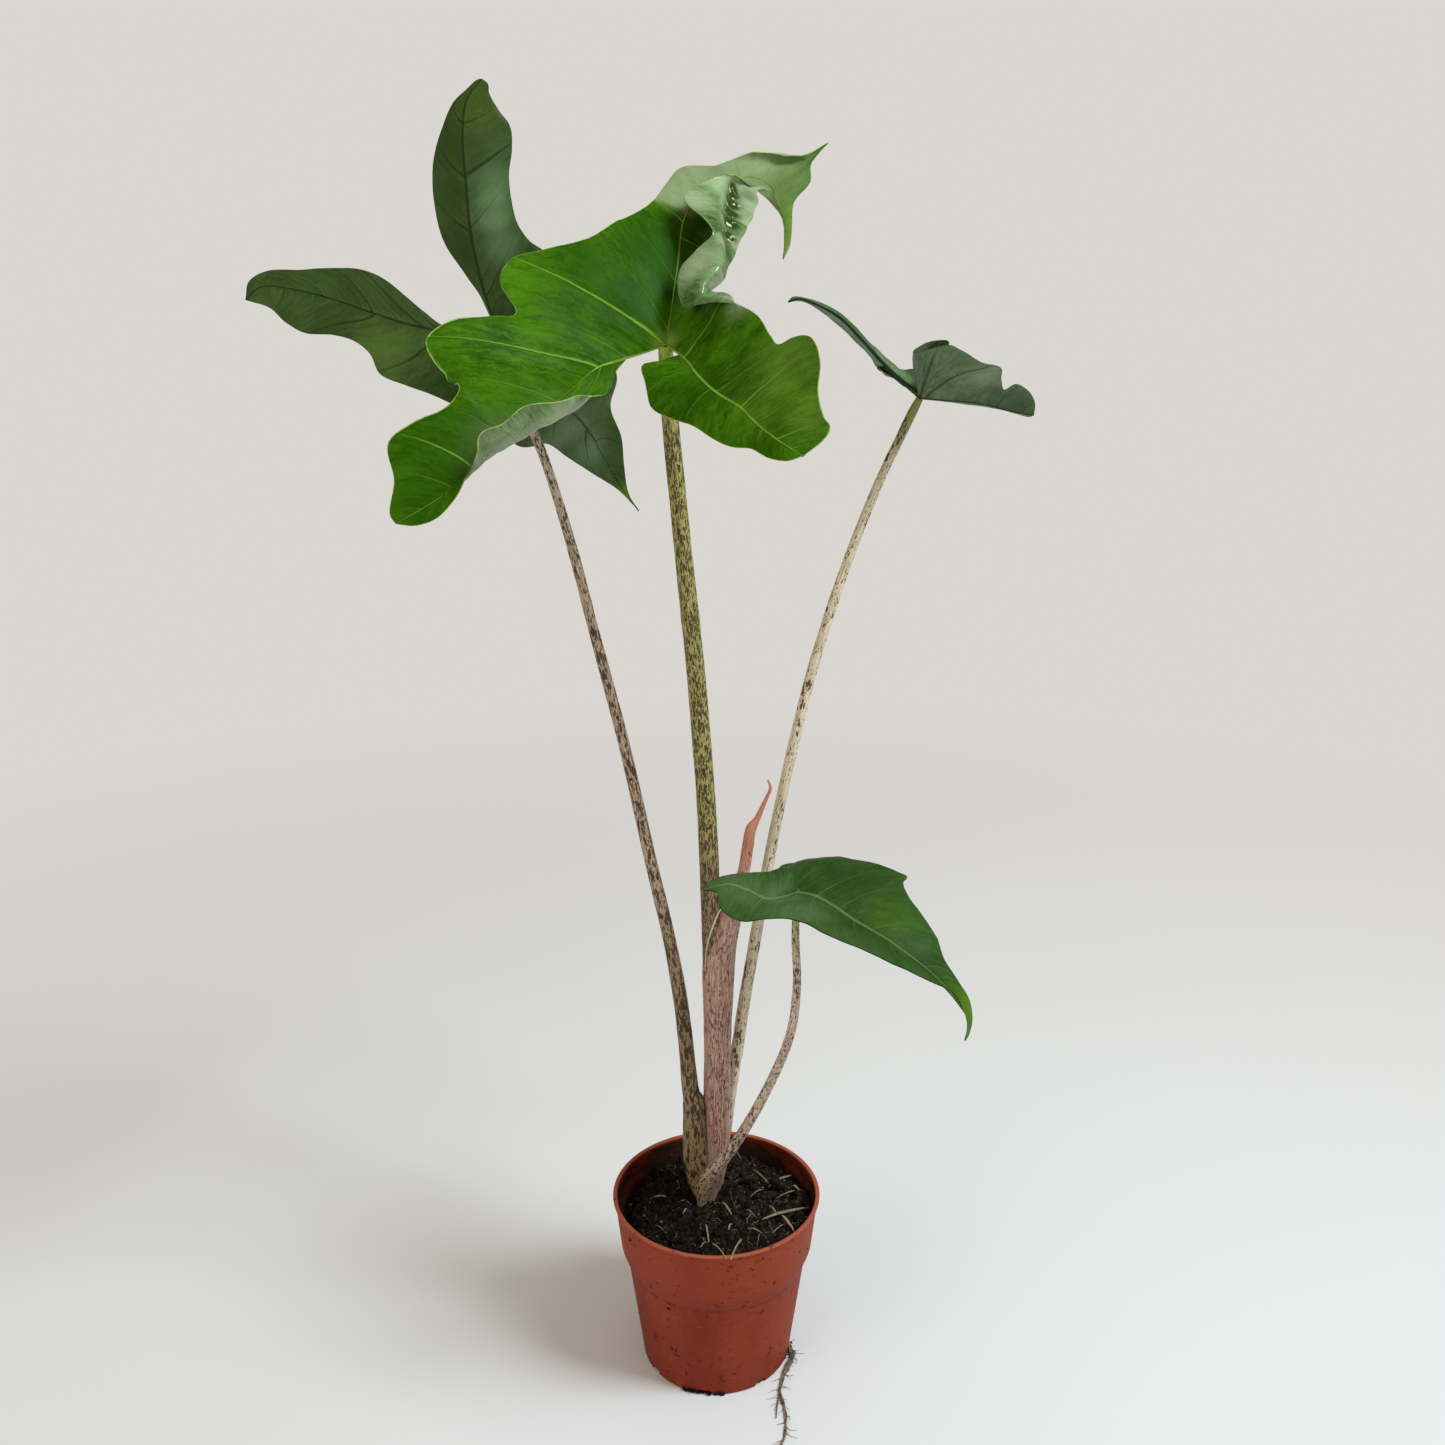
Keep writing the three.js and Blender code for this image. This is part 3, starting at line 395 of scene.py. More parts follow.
# %% The leaf finish
def leaf_finish(name, tones, widths, vein_share, relief, roughness, coat, specular, glints=False):
    """Two greens in slow patches and in streaks, tinted in places, partly with painted light and shade, then veins,
    ribs and margin laid over them.
    """
    dark, light, vein, margin, pale, fresh = tones

    def build(graph):
        masks = graph.group(VEINS, dict(zip(("Rib Width", "Vein Width", "Margin Width"), widths)))
        streaks = masks["Streaks"]
        patch = graph.noise(graph.spot(), 24.0, detail=5.0, roughness=0.65)
        fine = graph.noise(graph.spot(), 520.0, detail=2.0)
        paler_and_painted_sheen, fresher_and_painted_light, darker_and_painted_shade = graph.parts(graph.field("tint"))
        uneven = (patch + streaks) * 0.65 + 0.35
        if glints:
            fresh_and_painted_light_share = fresher_and_painted_light * (graph.noise(graph.spot((1, 1, 1.5)), 210.0).ease(0.6, 0.63) * darker_and_painted_shade)
        else:
            fresh_and_painted_light_share = fresher_and_painted_light * uneven
        # The tint shares lay painted light over the leaf's own tones: a painted sheen and highlights in the pale
        # tone, painted shade in the dark tone, and in places painted light in the fresh tone
        colour = graph.coats(
            dark, ((patch * 0.5 + streaks * 0.5).ease(0.36, 0.64), light), (fine.ease(0.5, 0.8) * 0.3, light),
            (paler_and_painted_sheen * uneven, pale), (darker_and_painted_shade * 0.92, dark), (fresh_and_painted_light_share, fresh), (masks["Veins"] * vein_share, vein),
            (masks["Ribs"] * min(1.0, vein_share * 1.15), vein), (masks["Margin"], margin))
        bump = graph.bump(masks["Height"] + fine * 0.12, relief * MM)
        return {"Base Color": colour, "Roughness": streaks * 0.12 + (roughness - 0.06), "Normal": bump}

    return finish_of(name, build, Coat_Roughness=0.07, Coat_Weight=coat, Specular_IOR_Level=specular)


# The widths of ribs, veins and margin in mm
BRIGHT_WIDTHS, DARK_WIDTHS, FRONT_WIDTHS = (1.4, 0.9, 0.35), (1.3, 0.9, 0.4), (2.2, 1.0, 0.4)

# Tones: dark, light, vein, margin, pale and fresh. Dark is also the colour of the painted shade, pale that
# of the painted sheen and highlights, and fresh partly that of painted light. Then the share of the veins'
# tone, the relief in mm, the roughness, the coat and the specular level
bright_upper = leaf_finish(
    "bright upper face", [(0.016, 0.068, 0.001), (0.068, 0.2, 0.004), (0.2, 0.36, 0.035), (0.3, 0.42, 0.09),
                          (0.27, 0.33, 0.17), (0.17, 0.29, 0.04)], BRIGHT_WIDTHS, 0.8, 0.8, 0.38, 0.0, 0.03)
bright_lower = leaf_finish(
    "bright lower face", [(0.022, 0.06, 0.004), (0.19, 0.33, 0.11), (0.3, 0.44, 0.18), (0.38, 0.48, 0.26),
                          (0.36, 0.46, 0.25), (0.75, 0.66, 0.34)], BRIGHT_WIDTHS, 0.6, 1.2, 0.36, 0.6, 0.1, True)
deep_upper = leaf_finish(
    "deep upper face", [(0.018, 0.065, 0.01), (0.045, 0.13, 0.02), (0.09, 0.19, 0.04), (0.04, 0.09, 0.02),
                        (0.12, 0.2, 0.1), (0.16, 0.26, 0.03)], DARK_WIDTHS, 0.6, 0.6, 0.42, 0.05, 0.2)
grey_lower = leaf_finish(
    "grey lower face", [(0.026, 0.058, 0.008), (0.062, 0.115, 0.026), (0.012, 0.028, 0.005), (0.01, 0.024, 0.004),
                        (0.14, 0.24, 0.11), (0.16, 0.25, 0.02)], DARK_WIDTHS, 0.65, 0.8, 0.5, 0.0, 0.15)
front_upper = leaf_finish(
    "front upper face", [(0.021, 0.06, 0.007), (0.047, 0.11, 0.021), (0.16, 0.28, 0.09), (0.016, 0.04, 0.006),
                         (0.13, 0.2, 0.09), (0.12, 0.26, 0.01)], FRONT_WIDTHS, 0.5, 0.9, 0.4, 0.0, 0.07)
pale_lower = leaf_finish(
    "pale lower face", [(0.036, 0.078, 0.022), (0.135, 0.23, 0.09), (0.014, 0.032, 0.01), (0.15, 0.24, 0.12),
                        (0.26, 0.34, 0.2), (0.16, 0.25, 0.02)], BRIGHT_WIDTHS, 0.8, 0.9, 0.45, 0.0, 0.25)
print("leaf finishes:", len(bpy.data.materials))

# %% [markdown]
# ## The leaves' ribs and margins
# A leaf has three ribs that start at the hub, where the stem joins. Its sides run from rib to rib,
# clockwise as seen from above, and the first and the last begin and end on one rib. A station of a
# side is a place on the rib, counted in rib points from the hub and negative on the rib where the
# side begins, then the spots out from the rib, the margin last. A vein is two places, counted in
# stations, where it leaves the rib and where it ends, and its strength from 1 to 12. A tint is a
# spot, its size in mm and how much paler, fresher and darker the blade is there. Many tints are
# painted light: the paler ones painted sheen and highlights, the darker ones painted shade, and a
# few fresher ones painted light; the others are the leaf's own tones. A curl is a place in
# stations, its angle and its length in mm. Every spot is [across, down, away].

# %% Ribs, margins and veins
CENTRE_LEAF = {
    # Painted sheen: from 47 to 126 mm behind the axis, past its crest, the blade is lighter, a painted reflection
    "painted_sheen_beyond_crest": (47, 50, 110, 126, 0.75),
    # Many of these are painted light: lighter spots on the roll's ridges and flaps are painted highlights, dark spots
    # in the roll's valley and in the hollow beside the midrib are painted shade, and the fresher spots on the right
    # lobe are painted light. The fresher spots in the valley place its glints
    "tints": table("""
        790,360,-62,22,0,0.35,0 765,385,-62,20,0,0.15,0 812,405,-84,14,0,0.35,0 716,208,50,5,1,0,0
        717,225,36,5,1,0,0 720,245,14,5,1,0,0 746,202,72,6,1,0,0 744,225,54,5,0.9,0,0 738,246,34,6,0.9,0,0
        790,182,118,14,0.45,0.25,0 786,215,117,12,0.2,0.6,0 783,250,115,10,0,0.9,0 702,210,60,7,0,0,1
        710,218,62,8,0,0,1 700,225,52,8,0,0,1 667,345,0,7,0,0.9,0 590,280,12,26,0,0,0.85 655,260,26,28,0,0,0.9
        625,305,8,24,0,0,1 664,285,18,15,0,0,1.1 560,320,-4,20,0,0,0.6 558,360,-16,12,0,0,0.5 770,430,-78,14,0,0,0.3
        600,415,-38,14,0,0,0.8 700,385,-34,15,0,0,0.6 735,330,-42,13,0,0,0.5 450,455,-58,26,0,0,0.75
        415,500,-66,16,0,0,0.7 500,455,-56,16,0.6,0,0 560,412,-45,12,0.5,0,0 731,192,71,6,0,1.2,1.5
        731,203,63,6,0,1.3,1.5 730,213,54,6,0,1.3,1.5 729,223,45,6,0,1.3,1.5 728,236,34,5.5,0,0.8,1.3
        727,250,22,5,0,0,0.9 720,172,90,10,0,0,0.22 694,202,34,10,0.9,0,0 698,268,8,14,1,0,0 690,302,-5,6,0,0.1,0.35
        712,292,-10,6,0.5,0,0.2 748,196,78,6,0,0,0.5 745,215,58,6,0,0,0.2 735,300,-26,8,0.6,0,0 666,338,0,3,0,0,1"""),
    "ribs": {
        "left": table("""
        666,346,0 640,355,-5 615,362,-12 598,368,-18 573,389,-26 545,412,-36 506,445,-48 473,469,-56 440,497,-62
        396,524,-68"""),
        "front": table("""
        666,346,0 671,310,10 677,265,26 683,222,44 697,198,64 722,183,84 750,177,102 768,184,112 778,203,116
        786,228,117 783,260,114"""),
        "right": table("""
        666,346,0 684,359,-14 700,378,-30 718,394,-44 741,408,-58 756,423,-68 772,436,-78 788,447,-86 803,456,-92"""),
    },
    "sides": [
        dict(back="left", forth="left", arch=0.05, fade=0.4, veins=table("""
        1.2,2.4,2 2.6,3.6,3 3.6,4.6,2 4.7,5.8,3 5.8,7,2 7,8.2,3 8.2,9.6,3 10,11,3"""),
             stations=stations("""
        1.5 / 1.9 616,372,-14 / 2.5 607,393,-20 / 3.1 590,388,-24 581,407,-31 578,403,-39 577,396,-42 /
        4 562,405,-34 554,422,-42 556,413,-50 559,402,-54 / 4.9 534,424,-42 527,436,-49 526,422,-58 523,407,-63 /
        5.5 512,441,-49 506,448,-54 505,438,-62 502,424,-66 / 6.1 491,455,-54 484,462,-58 482,450,-66 481,434,-70 /
        6.8 474,471,-58 471,474,-61 472,464,-67 478,451,-70 / 7.4 459,486,-61 461,484,-62 463,483,-63 465,480,-64 /
        7.8 455,499,-62 / 8.4 436,519,-64 / 8.8 413,526,-67 / 9""")),
        dict(back="left", forth="front", arch=0.05, fade=0.8, veins=table("""
        1.6,1,2 2.9,2.1,3 4.25,3.4,8 6.4,4.9,3 8.5,6.6,3 10.67,8.2,10 12.3,10.6,3 14,13.1,12 15.6,15.2,3 17,16.6,3
        18.6,17.9,6 20.3,19.8,4 21.8,21.5,5 23.4,23.2,4 28,28,3 30.5,30.8,3"""),
             curl=table("""
        2.5,0,3 4,60,3 6,20,3 7,95,4 9,60,4 10.5,0,3 21,0,6 22.2,150,9 24,200,9 25.2,60,4 26,0,2"""),
             stations=stations("""
        -9 / -8.8 390,515,-68 / -8.2 394,480,-66 / -7.6 388,443,-64 / -7.1 413,422,-60 / -6.7 446,407,-54 /
        -6.2 459,386,-50 / -5.5 441,371,-50 / -4.9 424,342,-50 / -4.3 446,323,-44 / -3.6 486,317,-34 /
        -2.7 516,313,-24 / -1.8 500,281,-16 / -0.8 511,259,-8 / 0 543,250,0 / 0 589,238,12 / 0.7 612,224,22 /
        1.6 634,214,34 / 2.5 653,201,48 / 3.3 666,184,64 / 4.1 681,168,80 / 4.9 716,166,98 / 5.7 754,162,114 /
        6.3 776,159,120 / 6.8 794,156,122 / 7.2 808,158,122 / 7.4 829,142,126 / 7.6 811,163,122 / 8 810,182,121 /
        8.4 794,201,119 / 8.9 792,224,118 / 9.5 790,245,116 / 10""")),
        dict(back="front", forth="right", arch=0.03, veins=table("""
        2,1.6,3 4.2,3.6,3 6,5.4,5 7.6,7,5 9.2,8.8,5 11,10.6,5 13,12.6,4 15.2,14.6,3 17.67,17,8 19.4,19.2,2 21,21.4,4
        23,23.3,7 24.4,24.8,3 25.8,26.4,5 27.4,28.2,3 29,29.8,3 31,32,2"""),
             stations=stations("""
        -10 / -9.4 784,244,116 / -8.7 782,219,117 / -8.1 771,203,116 / -7.3 762,195,110 /
        -6.4 756,187,106 758,190,98 754,186,95 750,182,88 747,184,84 /
        -5.6 744,195,92 757,203,78 742,188,80 731,176,67 728,174,63 /
        -4.8 734,214,78 754,213,64 733,199,69 719,186,53 706,182,52 /
        -4.2 725,222,66 750,222,54 730,209,58 716,198,43 686,194,37 /
        -3.7 718,228,56 746,231,44 728,218,48 714,208,33 687,204,29 /
        -3.1 712,238,46 739,244,34 727,230,38 717,221,24 704,218,20 /
        -2.6 706,250,38 734,257,26 727,243,28 719,234,15 713,233,13 /
        -2.1 700,264,30 727,269,18 726,258,16 721,250,5 695,252,10 /
        -1.6 694,280,20 722,280,10 723,274,4 718,268,-5 681,269,6 /
        -1.1 688,296,12 716,287,4 712,287,-3 704,283,-11 678,289,0 /
        -0.6 684,310,6 708,290,-2 706,295,-9 702,296,-14 684,307,-7 /
        0 688,320,0 712,291,-8 710,295,-14 706,297,-18 700,304,-14 /
        0.6 702,322,-8 724,293,-16 723,295,-20 720,298,-22 715,302,-20 /
        1.2 714,330,-16 733,301,-24 734,302,-25 735,303,-26 736,304,-26 / 1.7 756,314,-32 / 2.4 771,336,-44 /
        2.9 779,345,-48 / 3.4 793,337,-54 / 4 812,338,-64 / 4.7 820,360,-72 / 5.6 818,392,-80 / 6.5 824,417,-88 /
        7 830,427,-92 / 7.6 821,442,-94 / 8""")),
        dict(back="right", forth="right", arch=0.05, veins=table("""
        1.6,1,2 3.4,2.6,4 5.2,4.4,3 7.2,6.4,4 9.4,8.8,2"""),
             stations=stations("""
        -8 / -7.4 788,461,-90 / -6.6 768,458,-82 / -5.8 751,449,-74 / -5 731,447,-66 / -4.2 713,439,-56 /
        -3.4 693,426,-46 / -2.8 672,419,-36 / -2.2 652,408,-28 / -1.8 646,385,-22 / -1.4 642,366,-17 /
        -1.1 656,363,-14 / -0.75""")),
    ],
}

LEFT_LEAF = {
    "tints": table("""
        486,150,-8,14,0.2,0,0.2 492,180,-3,10,0.7,0,0 492,200,-1,9,0.9,0,0 493,220,2,9,0.9,0,0 500,245,8,10,0.7,0,0
        452,195,-1,12,0,0,0.6 463,245,6,12,0,0,0.6 575,440,76,15,0.6,0,0 595,455,98,13,0.6,0,0 637,506,137,8,0,1,0
        628,492,130,8,0,0.8,0 476,110,-12,12,0,0.2,0.4 385,345,8,14,0,0.15,0.2 458,140,-6,18,0,0,0.75
        340,290,14,24,0,0,0.3 625,440,105,12,0,0,0.7"""),
    "ribs": {
        "left": table("""
        523,388,30 500,362,24 468,343,19 437,331,16 411,325,15 375,314,14 341,302,14 301,291,15 262,287,18
        246,300,20"""),
        "front": table("""
        523,388,30 548,398,50 572,412,72 590,433,94 604,458,112 620,484,126 639,511,138"""),
        "right": table("""
        523,388,30 508,350,24 492,315,18 477,262,8 470,225,1 466,180,-6 463,135,-10 467,100,-12 482,79,-12"""),
    },
    "sides": [
        dict(back="left", forth="left", arch=-0.05, veins=table("""
        1,2,4 2.2,3.6,6 3.15,6,10 5.2,7.2,6 7.2,8.8,4"""),
             stations=stations("""
        1 / 1.7 470,333,20 / 2.6 441,325,18 / 3.4 424,312,17 / 4.1 405,296,17 / 4.9 384,279,17 / 5.6 362,270,17 /
        6.3 338,268,17 / 7 301,270,18 / 7.7 268,271,19 / 8.4 249,282,20 / 9""")),
        dict(back="left", forth="front", arch=-0.04, veins=table("""
        2.2,1.4,4 4,2.2,3 5.83,3,9 9,6.8,9 10.8,9.6,5 12.5,12.4,5 14.6,15.2,7 16.2,17.2,6 17.8,18.6,4"""),
             stations=stations("""
        -9 / -8.2 270,308,17 / -7.5 287,323,13 / -6.9 305,333,10 / -6.2 333,335,9 / -5.5 354,341,8 /
        -4.9 370,354,7 / -4.4 380,374,6 / -3.7 405,385,6 / -3 430,394,8 / -2.3 452,404,12 / -1.5 478,417,20 /
        0 500,432,32 / 0 519,446,44 / 0.8 534,446,58 / 1.6 548,444,74 / 2.6 566,456,94 / 3.5 592,473,112 /
        4.6 617,489,126 / 5.5 633,504,135 / 6""")),
        dict(back="front", forth="right", arch=-0.04, veins=table("""
        2,1.2,4 3.8,2.6,7 5.6,4.4,6 7.4,7,5 9.4,9.6,5 11.2,11.8,5 13.2,13.8,4 14.9,15.3,11 16.6,17.2,5"""),
             curl=table("""
        8,0,3 10,40,3 13,0,3 17,35,3 19,0,3"""),
             stations=stations("""
        -6 / -5.4 629,495,130 / -4.6 624,465,118 / -3.9 621,436,106 / -3.2 610,406,94 / -2.4 617,378,80 /
        -1.6 606,350,64 / -0.8 586,322,48 / 0 566,298,36 / 0.7 560,275,28 / 1.4 545,252,20 / 2.2 529,240,13 /
        3 517,222,7 / 3.8 511,198,3 / 4.5 509,174,0 / 5.2 512,149,-3 / 5.9 510,126,-6 / 6.6 499,110,-8 /
        7.3 489,93,-11 / 7.8 488,84,-12 / 8""")),
        dict(back="right", forth="right", arch=-0.05, veins=table("""
        2,1.2,4 3.8,2.8,6 5.6,4.6,6 7.4,6.4,5 9.2,8.4,4"""),
             stations=stations("""
        -8 / -7.8 477,80,-12 / -7.4 466,90,-12 / -6.8 454,102,-10 / -6.2 443,127,-7 / -5.5 435,153,-3 /
        -4.8 433,183,0 / -4.1 436,213,4 / -3.5 445,243,8 / -2.9 463,271,12 / -2.3 479,293,16 / -1.7 490,316,19 / -1""")),
    ],
}

RIGHT_LEAF = {
    "tints": table("""
        850,328,66,16,0,0,0.8 990,380,-6,9,0.5,0,0 1003,400,0,10,0,0,0.9 968,367,-15,9,0,0,0.4 925,355,20,8,0,0,0.8
        1010,405,6,13,0,0,1 919,395,20,5,0,0.5,0 890,370,40,10,0.3,0,0"""),
    "ribs": {
        "left": table("""
        920,397,20 940,399,18 964,401,15 990,405,11 1012,411,8 1034,415,6"""),
        "front": table("""
        920,397,20 903,382,32 884,364,44 862,340,57 840,318,68 815,304,78 798,299,84 788,302,86"""),
        "right": table("""
        920,397,20 910,389,38 899,381,56 888,374,72 880,368,84"""),
    },
    "sides": [
        dict(back="left", forth="left", arch=0.05, veins=table("""
        1,1.6,4 2.4,3,5 3.8,4.4,4"""),
             stations=stations("""
        0 / 1 944,401,36 / 2 965,404,44 / 3 992,408,42 / 4 1015,413,28 / 4.6 1028,417,16 / 5""")),
        dict(back="left", forth="front", arch=-0.06, veins=table("""
        1.6,1,4 4,3.4,5 8.7,6.5,12 10.3,10.1,12 12.5,12.5,5 14.5,14.5,6 18,18.4,4 20,20.6,4 22,22.8,4 24,24.8,3"""),
             stations=stations("""
        -5 / -4.7 1035,404,0 / -4.2 1028,391,-5 / -3.8 1016,384,-8 / -3.3 1004,390,-4 / -2.8 1001,379,-8 /
        -2.4 1001,369,-13 / -1.8 982,363,-17 / -1 962,351,-20 / 0 951,346,-20 / 0 939,347,-18 / 0 925,351,-13 /
        0 918,384,17 916,372,12 914,361,5 914,352,-2 / 0 916,384,22 914,371,19 914,358,13 917,348,9 /
        0 916,385,26 916,374,26 921,358,24 931,341,20 / 0 917,388,28 919,378,31 929,362,30 949,342,26 /
        0 916,389,30 917,382,35 922,374,38 932,365,38 / 0.5 911,385,34 911,380,39 911,375,43 911,369,46 /
        1 899,369,52 / 1.6 893,364,54 / 2.4 879,352,62 / 3.2 862,334,70 / 4 845,317,76 / 4.8 826,305,80 /
        5.6 808,299,84 / 6.4 793,297,87 / 7""")),
        dict(back="front", forth="right", arch=0.04, veins=table("""
        1.6,1,4 3.2,2.6,4 4.8,4.2,4 7.4,7.4,4"""),
             stations=stations("""
        -7 / -6.3 799,301,90 / -5.3 815,307,95 / -4.3 836,323,98 / -3.4 856,342,98 / -2.6 870,356,95 /
        -1.8 876,366,92 / 0 877,363,89 / 2.6 878,363,93 / 3.4 877,367,93 / 4""")),
        dict(back="right", forth="right", arch=-0.04, veins=table("""
        1,0.8,4 2.4,2.2,4"""),
             stations=stations("""
        -4 / -3.4 884,374,80 / -2.7 893,378,62 / -2 903,386,46 / -1""")),
    ],
}

FRONT_LEAF = {
    "tints": table("""
        780,905,-40,12,0.5,0,0 893,914,-42,14,0,0.16,0 800,915,-62,15,0.35,0,0 860,945,-78,14,0.2,0,0
        920,975,-76,10,0.1,0,0 952,1000,-65,9,0,0.35,0.3 967,1010,-62,12,0,0.7,0 968,1035,-60,8,0,1,0
        870,895,-20,20,0,0,0.5 740,885,-42,16,0.3,0,0 870,935,-70,16,0,0,0.6 925,960,-66,12,0,0,0.6"""),
    "ribs": {
        "left": table("""
        798,893,-25 792,882,-14 787,874,0 788,868,14 796,863,26"""),
        "front": table("""
        798,893,-25 814,896,-30 832,906,-37 856,922,-46 882,937,-54 912,958,-61 940,982,-64 958,1003,-64
        969,1022,-62 965,1041,-60"""),
        "right": table("""
        798,893,-25 784,898,-32 766,899,-39 748,890,-44 728,884,-48 703,890,-52"""),
    },
    "sides": [
        dict(back="left", forth="left", arch=0.03, veins=table("""
        1,1.4,3 2.4,3,3"""),
             stations=stations("""
        0 / 1.2 784,878,-8 / 2 779,870,4 / 2.8 781,866,14 / 3.5 787,864,22 / 4""")),
        dict(back="left", forth="front", arch=0.05, veins=table("""
        1.6,1,3 3.6,3.4,4 5.2,6.2,4 7.2,9.2,3 10.4,12,3 12.6,13.8,4 14.6,15.4,3 16.2,16.8,2"""),
             stations=stations("""
        -4 / -3.4 807,860,30 / -2.6 820,858,30 / -1.6 837,857,26 / 0 855,860,18 / 0.9 872,863,8 / 1.7 888,868,-1 /
        2.2 899,873,-7 / 2.4 907,877,-12 / 2.8 903,882,-15 / 3.3 908,896,-24 / 4.1 922,916,-36 / 5 937,939,-48 /
        5.7 944,959,-54 / 6.4 957,979,-58 / 7.2 969,1000,-60 / 8 972,1018,-61 / 8.6 969,1034,-60 / 9""")),
        dict(back="front", forth="right", arch=0.05, veins=table("""
        2,1,2 3.8,2.8,4 5.4,4.6,3 6.9,6.2,4 8.3,8,3 10,9.8,4 11.6,11,5 13.2,12.6,3 15,14.4,3"""),
             stations=stations("""
        -9 / -8.4 967,1024,-63 / -7.6 962,1007,-66 / -6.8 952,992,-69 / -6 932,982,-74 / -5 906,970,-80 /
        -4 870,953,-84 / -2.8 830,936,-82 / -1.5 804,923,-74 / 0 789,919,-68 / 0.8 764,919,-68 / 1.7 745,921,-70 /
        2.5 733,918,-68 / 3.2 722,910,-64 / 3.8 718,902,-60 / 4.3 718,894,-57 / 4.7 712,891,-55 / 5""")),
        dict(back="right", forth="right", arch=0.04, veins=table("""
        1.4,1,3 3,2.6,3 4.8,4.4,3"""),
             stations=stations("""
        -5 / -4.6 711,882,-45 / -3.9 728,875,-36 / -3 750,873,-29 / -2.2 768,872,-23 / -1.5 782,868,-20 /
        -0.8 794,873,-21 / 0""")),
    ],
}

# %% [markdown]
# ## A blade from ribs and margins
# Each side becomes a grid: one direction runs along the rib, the other out to the margin. Between
# two ribs the rows fan round the hub. The sides share the rib's points, and are merged there, so
# that the blade is one sheet. Two copies of it, one for each face, and a wall at the margin make
# it a closed body. The ribs swell out below and the blade puffs up a little between its veins.

# %% Rows of a blade
BLADE_THICKNESS = 0.55
ROWS_A_POINT = 12
PLAIN_COLUMNS, FOLDED_COLUMNS = 26, 56


def finer_at_ends(count):
    """Steps from 0 to 1 that are a quarter as long at both ends: x less three quarters of a sine wave."""
    steps = np.linspace(0, 1, count)
    return steps - 0.75 * np.sin(TURN * steps) / TURN


def rows_of(places):
    """Where the rows go: whole parts of each rib point, or a fan of rows while the side turns at the hub."""
    on_rib, along = [], []
    for i, (start, end) in enumerate(zip(places, places[1:])):
        if start == end:
            along.append(i + np.arange(ROWS_A_POINT) / ROWS_A_POINT)
            on_rib.append(np.full(ROWS_A_POINT, start))
            continue
        first, last = (math.ceil(place * ROWS_A_POINT - 1e-6) for place in (start, end))
        on_rib.append(np.arange(first, last) / ROWS_A_POINT)
        along.append(i + (on_rib[-1] - start) / (end - start))
    return np.concatenate([*on_rib, places[-1:]]), np.concatenate([*along, [len(places) - 1]])


def rib_points(ribs, side, places):
    """Points on the rib that the side comes from, for negative places, and on the one it goes to."""
    back, forth = (smooth_curve(ribs[side[way]], np.abs(places)) for way in ("back", "forth"))
    return np.where((places < 0)[:, None], back, forth)


def side_grid(ribs, side):
    """Grid of a side: the curve from the rib through its in-between points to the margin, row by row."""
    places = np.array([place for place, _ in side["stations"]])
    on_rib, along = rows_of(places)
    count = max(len(spots) for _, spots in side["stations"])
    starts = rib_points(ribs, side, places)
    shares = np.arange(1, count + 1)[:, None] / count
    outward = np.empty((count, len(places), 3))
    for i, (_, spots) in enumerate(side["stations"]):
        given = seen(spots) if len(spots) else starts[i:i + 1]
        outward[:, i] = given if len(given) == count else starts[i] + (given[-1] - starts[i]) * shares
    lines = [rib_points(ribs, side, on_rib)] + [smooth_curve(line, along) for line in outward]
    spread = finer_at_ends(PLAIN_COLUMNS if count == 1 else FOLDED_COLUMNS)
    grid = smooth_curve(np.array(lines), spread * count).swapaxes(0, 1)
    if count == 1:
        grid = arched(grid, spread, side["arch"])
    if "curl" in side:
        grid = curled(grid, along, side["curl"])
    return grid, along


def arched(grid, spread, arch):
    """Bulges each row along the side's normal by arch, times its width, times a parabola that is 1 half way."""
    forward = np.gradient(grid[:, -1], axis=0) + np.gradient(grid[:, 0], axis=0)
    out = grid[:, -1] - grid[:, 0]
    window = np.ones(2 * (2 * ROWS_A_POINT // 3) + 1)
    normals = unit(np.cross(forward, out))
    normals = unit(np.stack([np.convolve(normals[:, k], window, "same") for k in range(3)], axis=1))
    lift = arch * np.linalg.norm(out, axis=1)[:, None] * 4 * spread * (1 - spread)
    return grid + normals[:, None, :] * lift[..., None]


def curled(grid, along, curl):
    """Bends the outer part of each row round a circle of radius r: r sin(q/r) outwards and r (1 - cos(q/r)) up."""
    at, angle, length = curl.T
    angle = np.radians(np.interp(along, at, angle))
    run = run_along(grid)
    length = np.minimum(np.interp(along, at, length), 0.6 * run[:, -1])[:, None]
    past = np.maximum(run - run[:, -1:] + length, 0)
    radius = length / np.where(np.abs(angle) < 1e-3, 1e-3, angle)[:, None]
    radius = np.where(np.abs(radius) < 1e-6, 1e-6, radius)
    inner = grid[:, -6]
    out = unit(grid[:, -1] - inner)
    up = unit(np.cross(np.gradient(inner, axis=0), out))
    outwards = radius * np.sin(past / radius) - past
    upwards = radius * (1 - np.cos(past / radius))
    return grid + out[:, None] * outwards[..., None] + up[:, None] * upwards[..., None]


# %% Fields of a blade
def vein_numbers(along, out, veins):
    """The number and strength of the nearest vein. A vein runs from its root to its end, numbers in between."""
    root, end, strength = veins.T
    at = root + (end - root) * out[..., None] ** 1.35
    place = along[:, None]
    between = np.clip((place[..., None] - at[..., :-1]) / np.diff(at), 0, 1).sum(axis=-1)
    before = 0.5 * np.clip((at[..., 0] - place) / 0.8, 0, 1)
    after = 0.5 * np.clip((place - at[..., -1]) / 0.8, 0, 1)
    number = between - before + after
    nearest = np.clip(np.round(number), 0, len(veins) - 1).astype(int)
    return number, strength[nearest] / 12


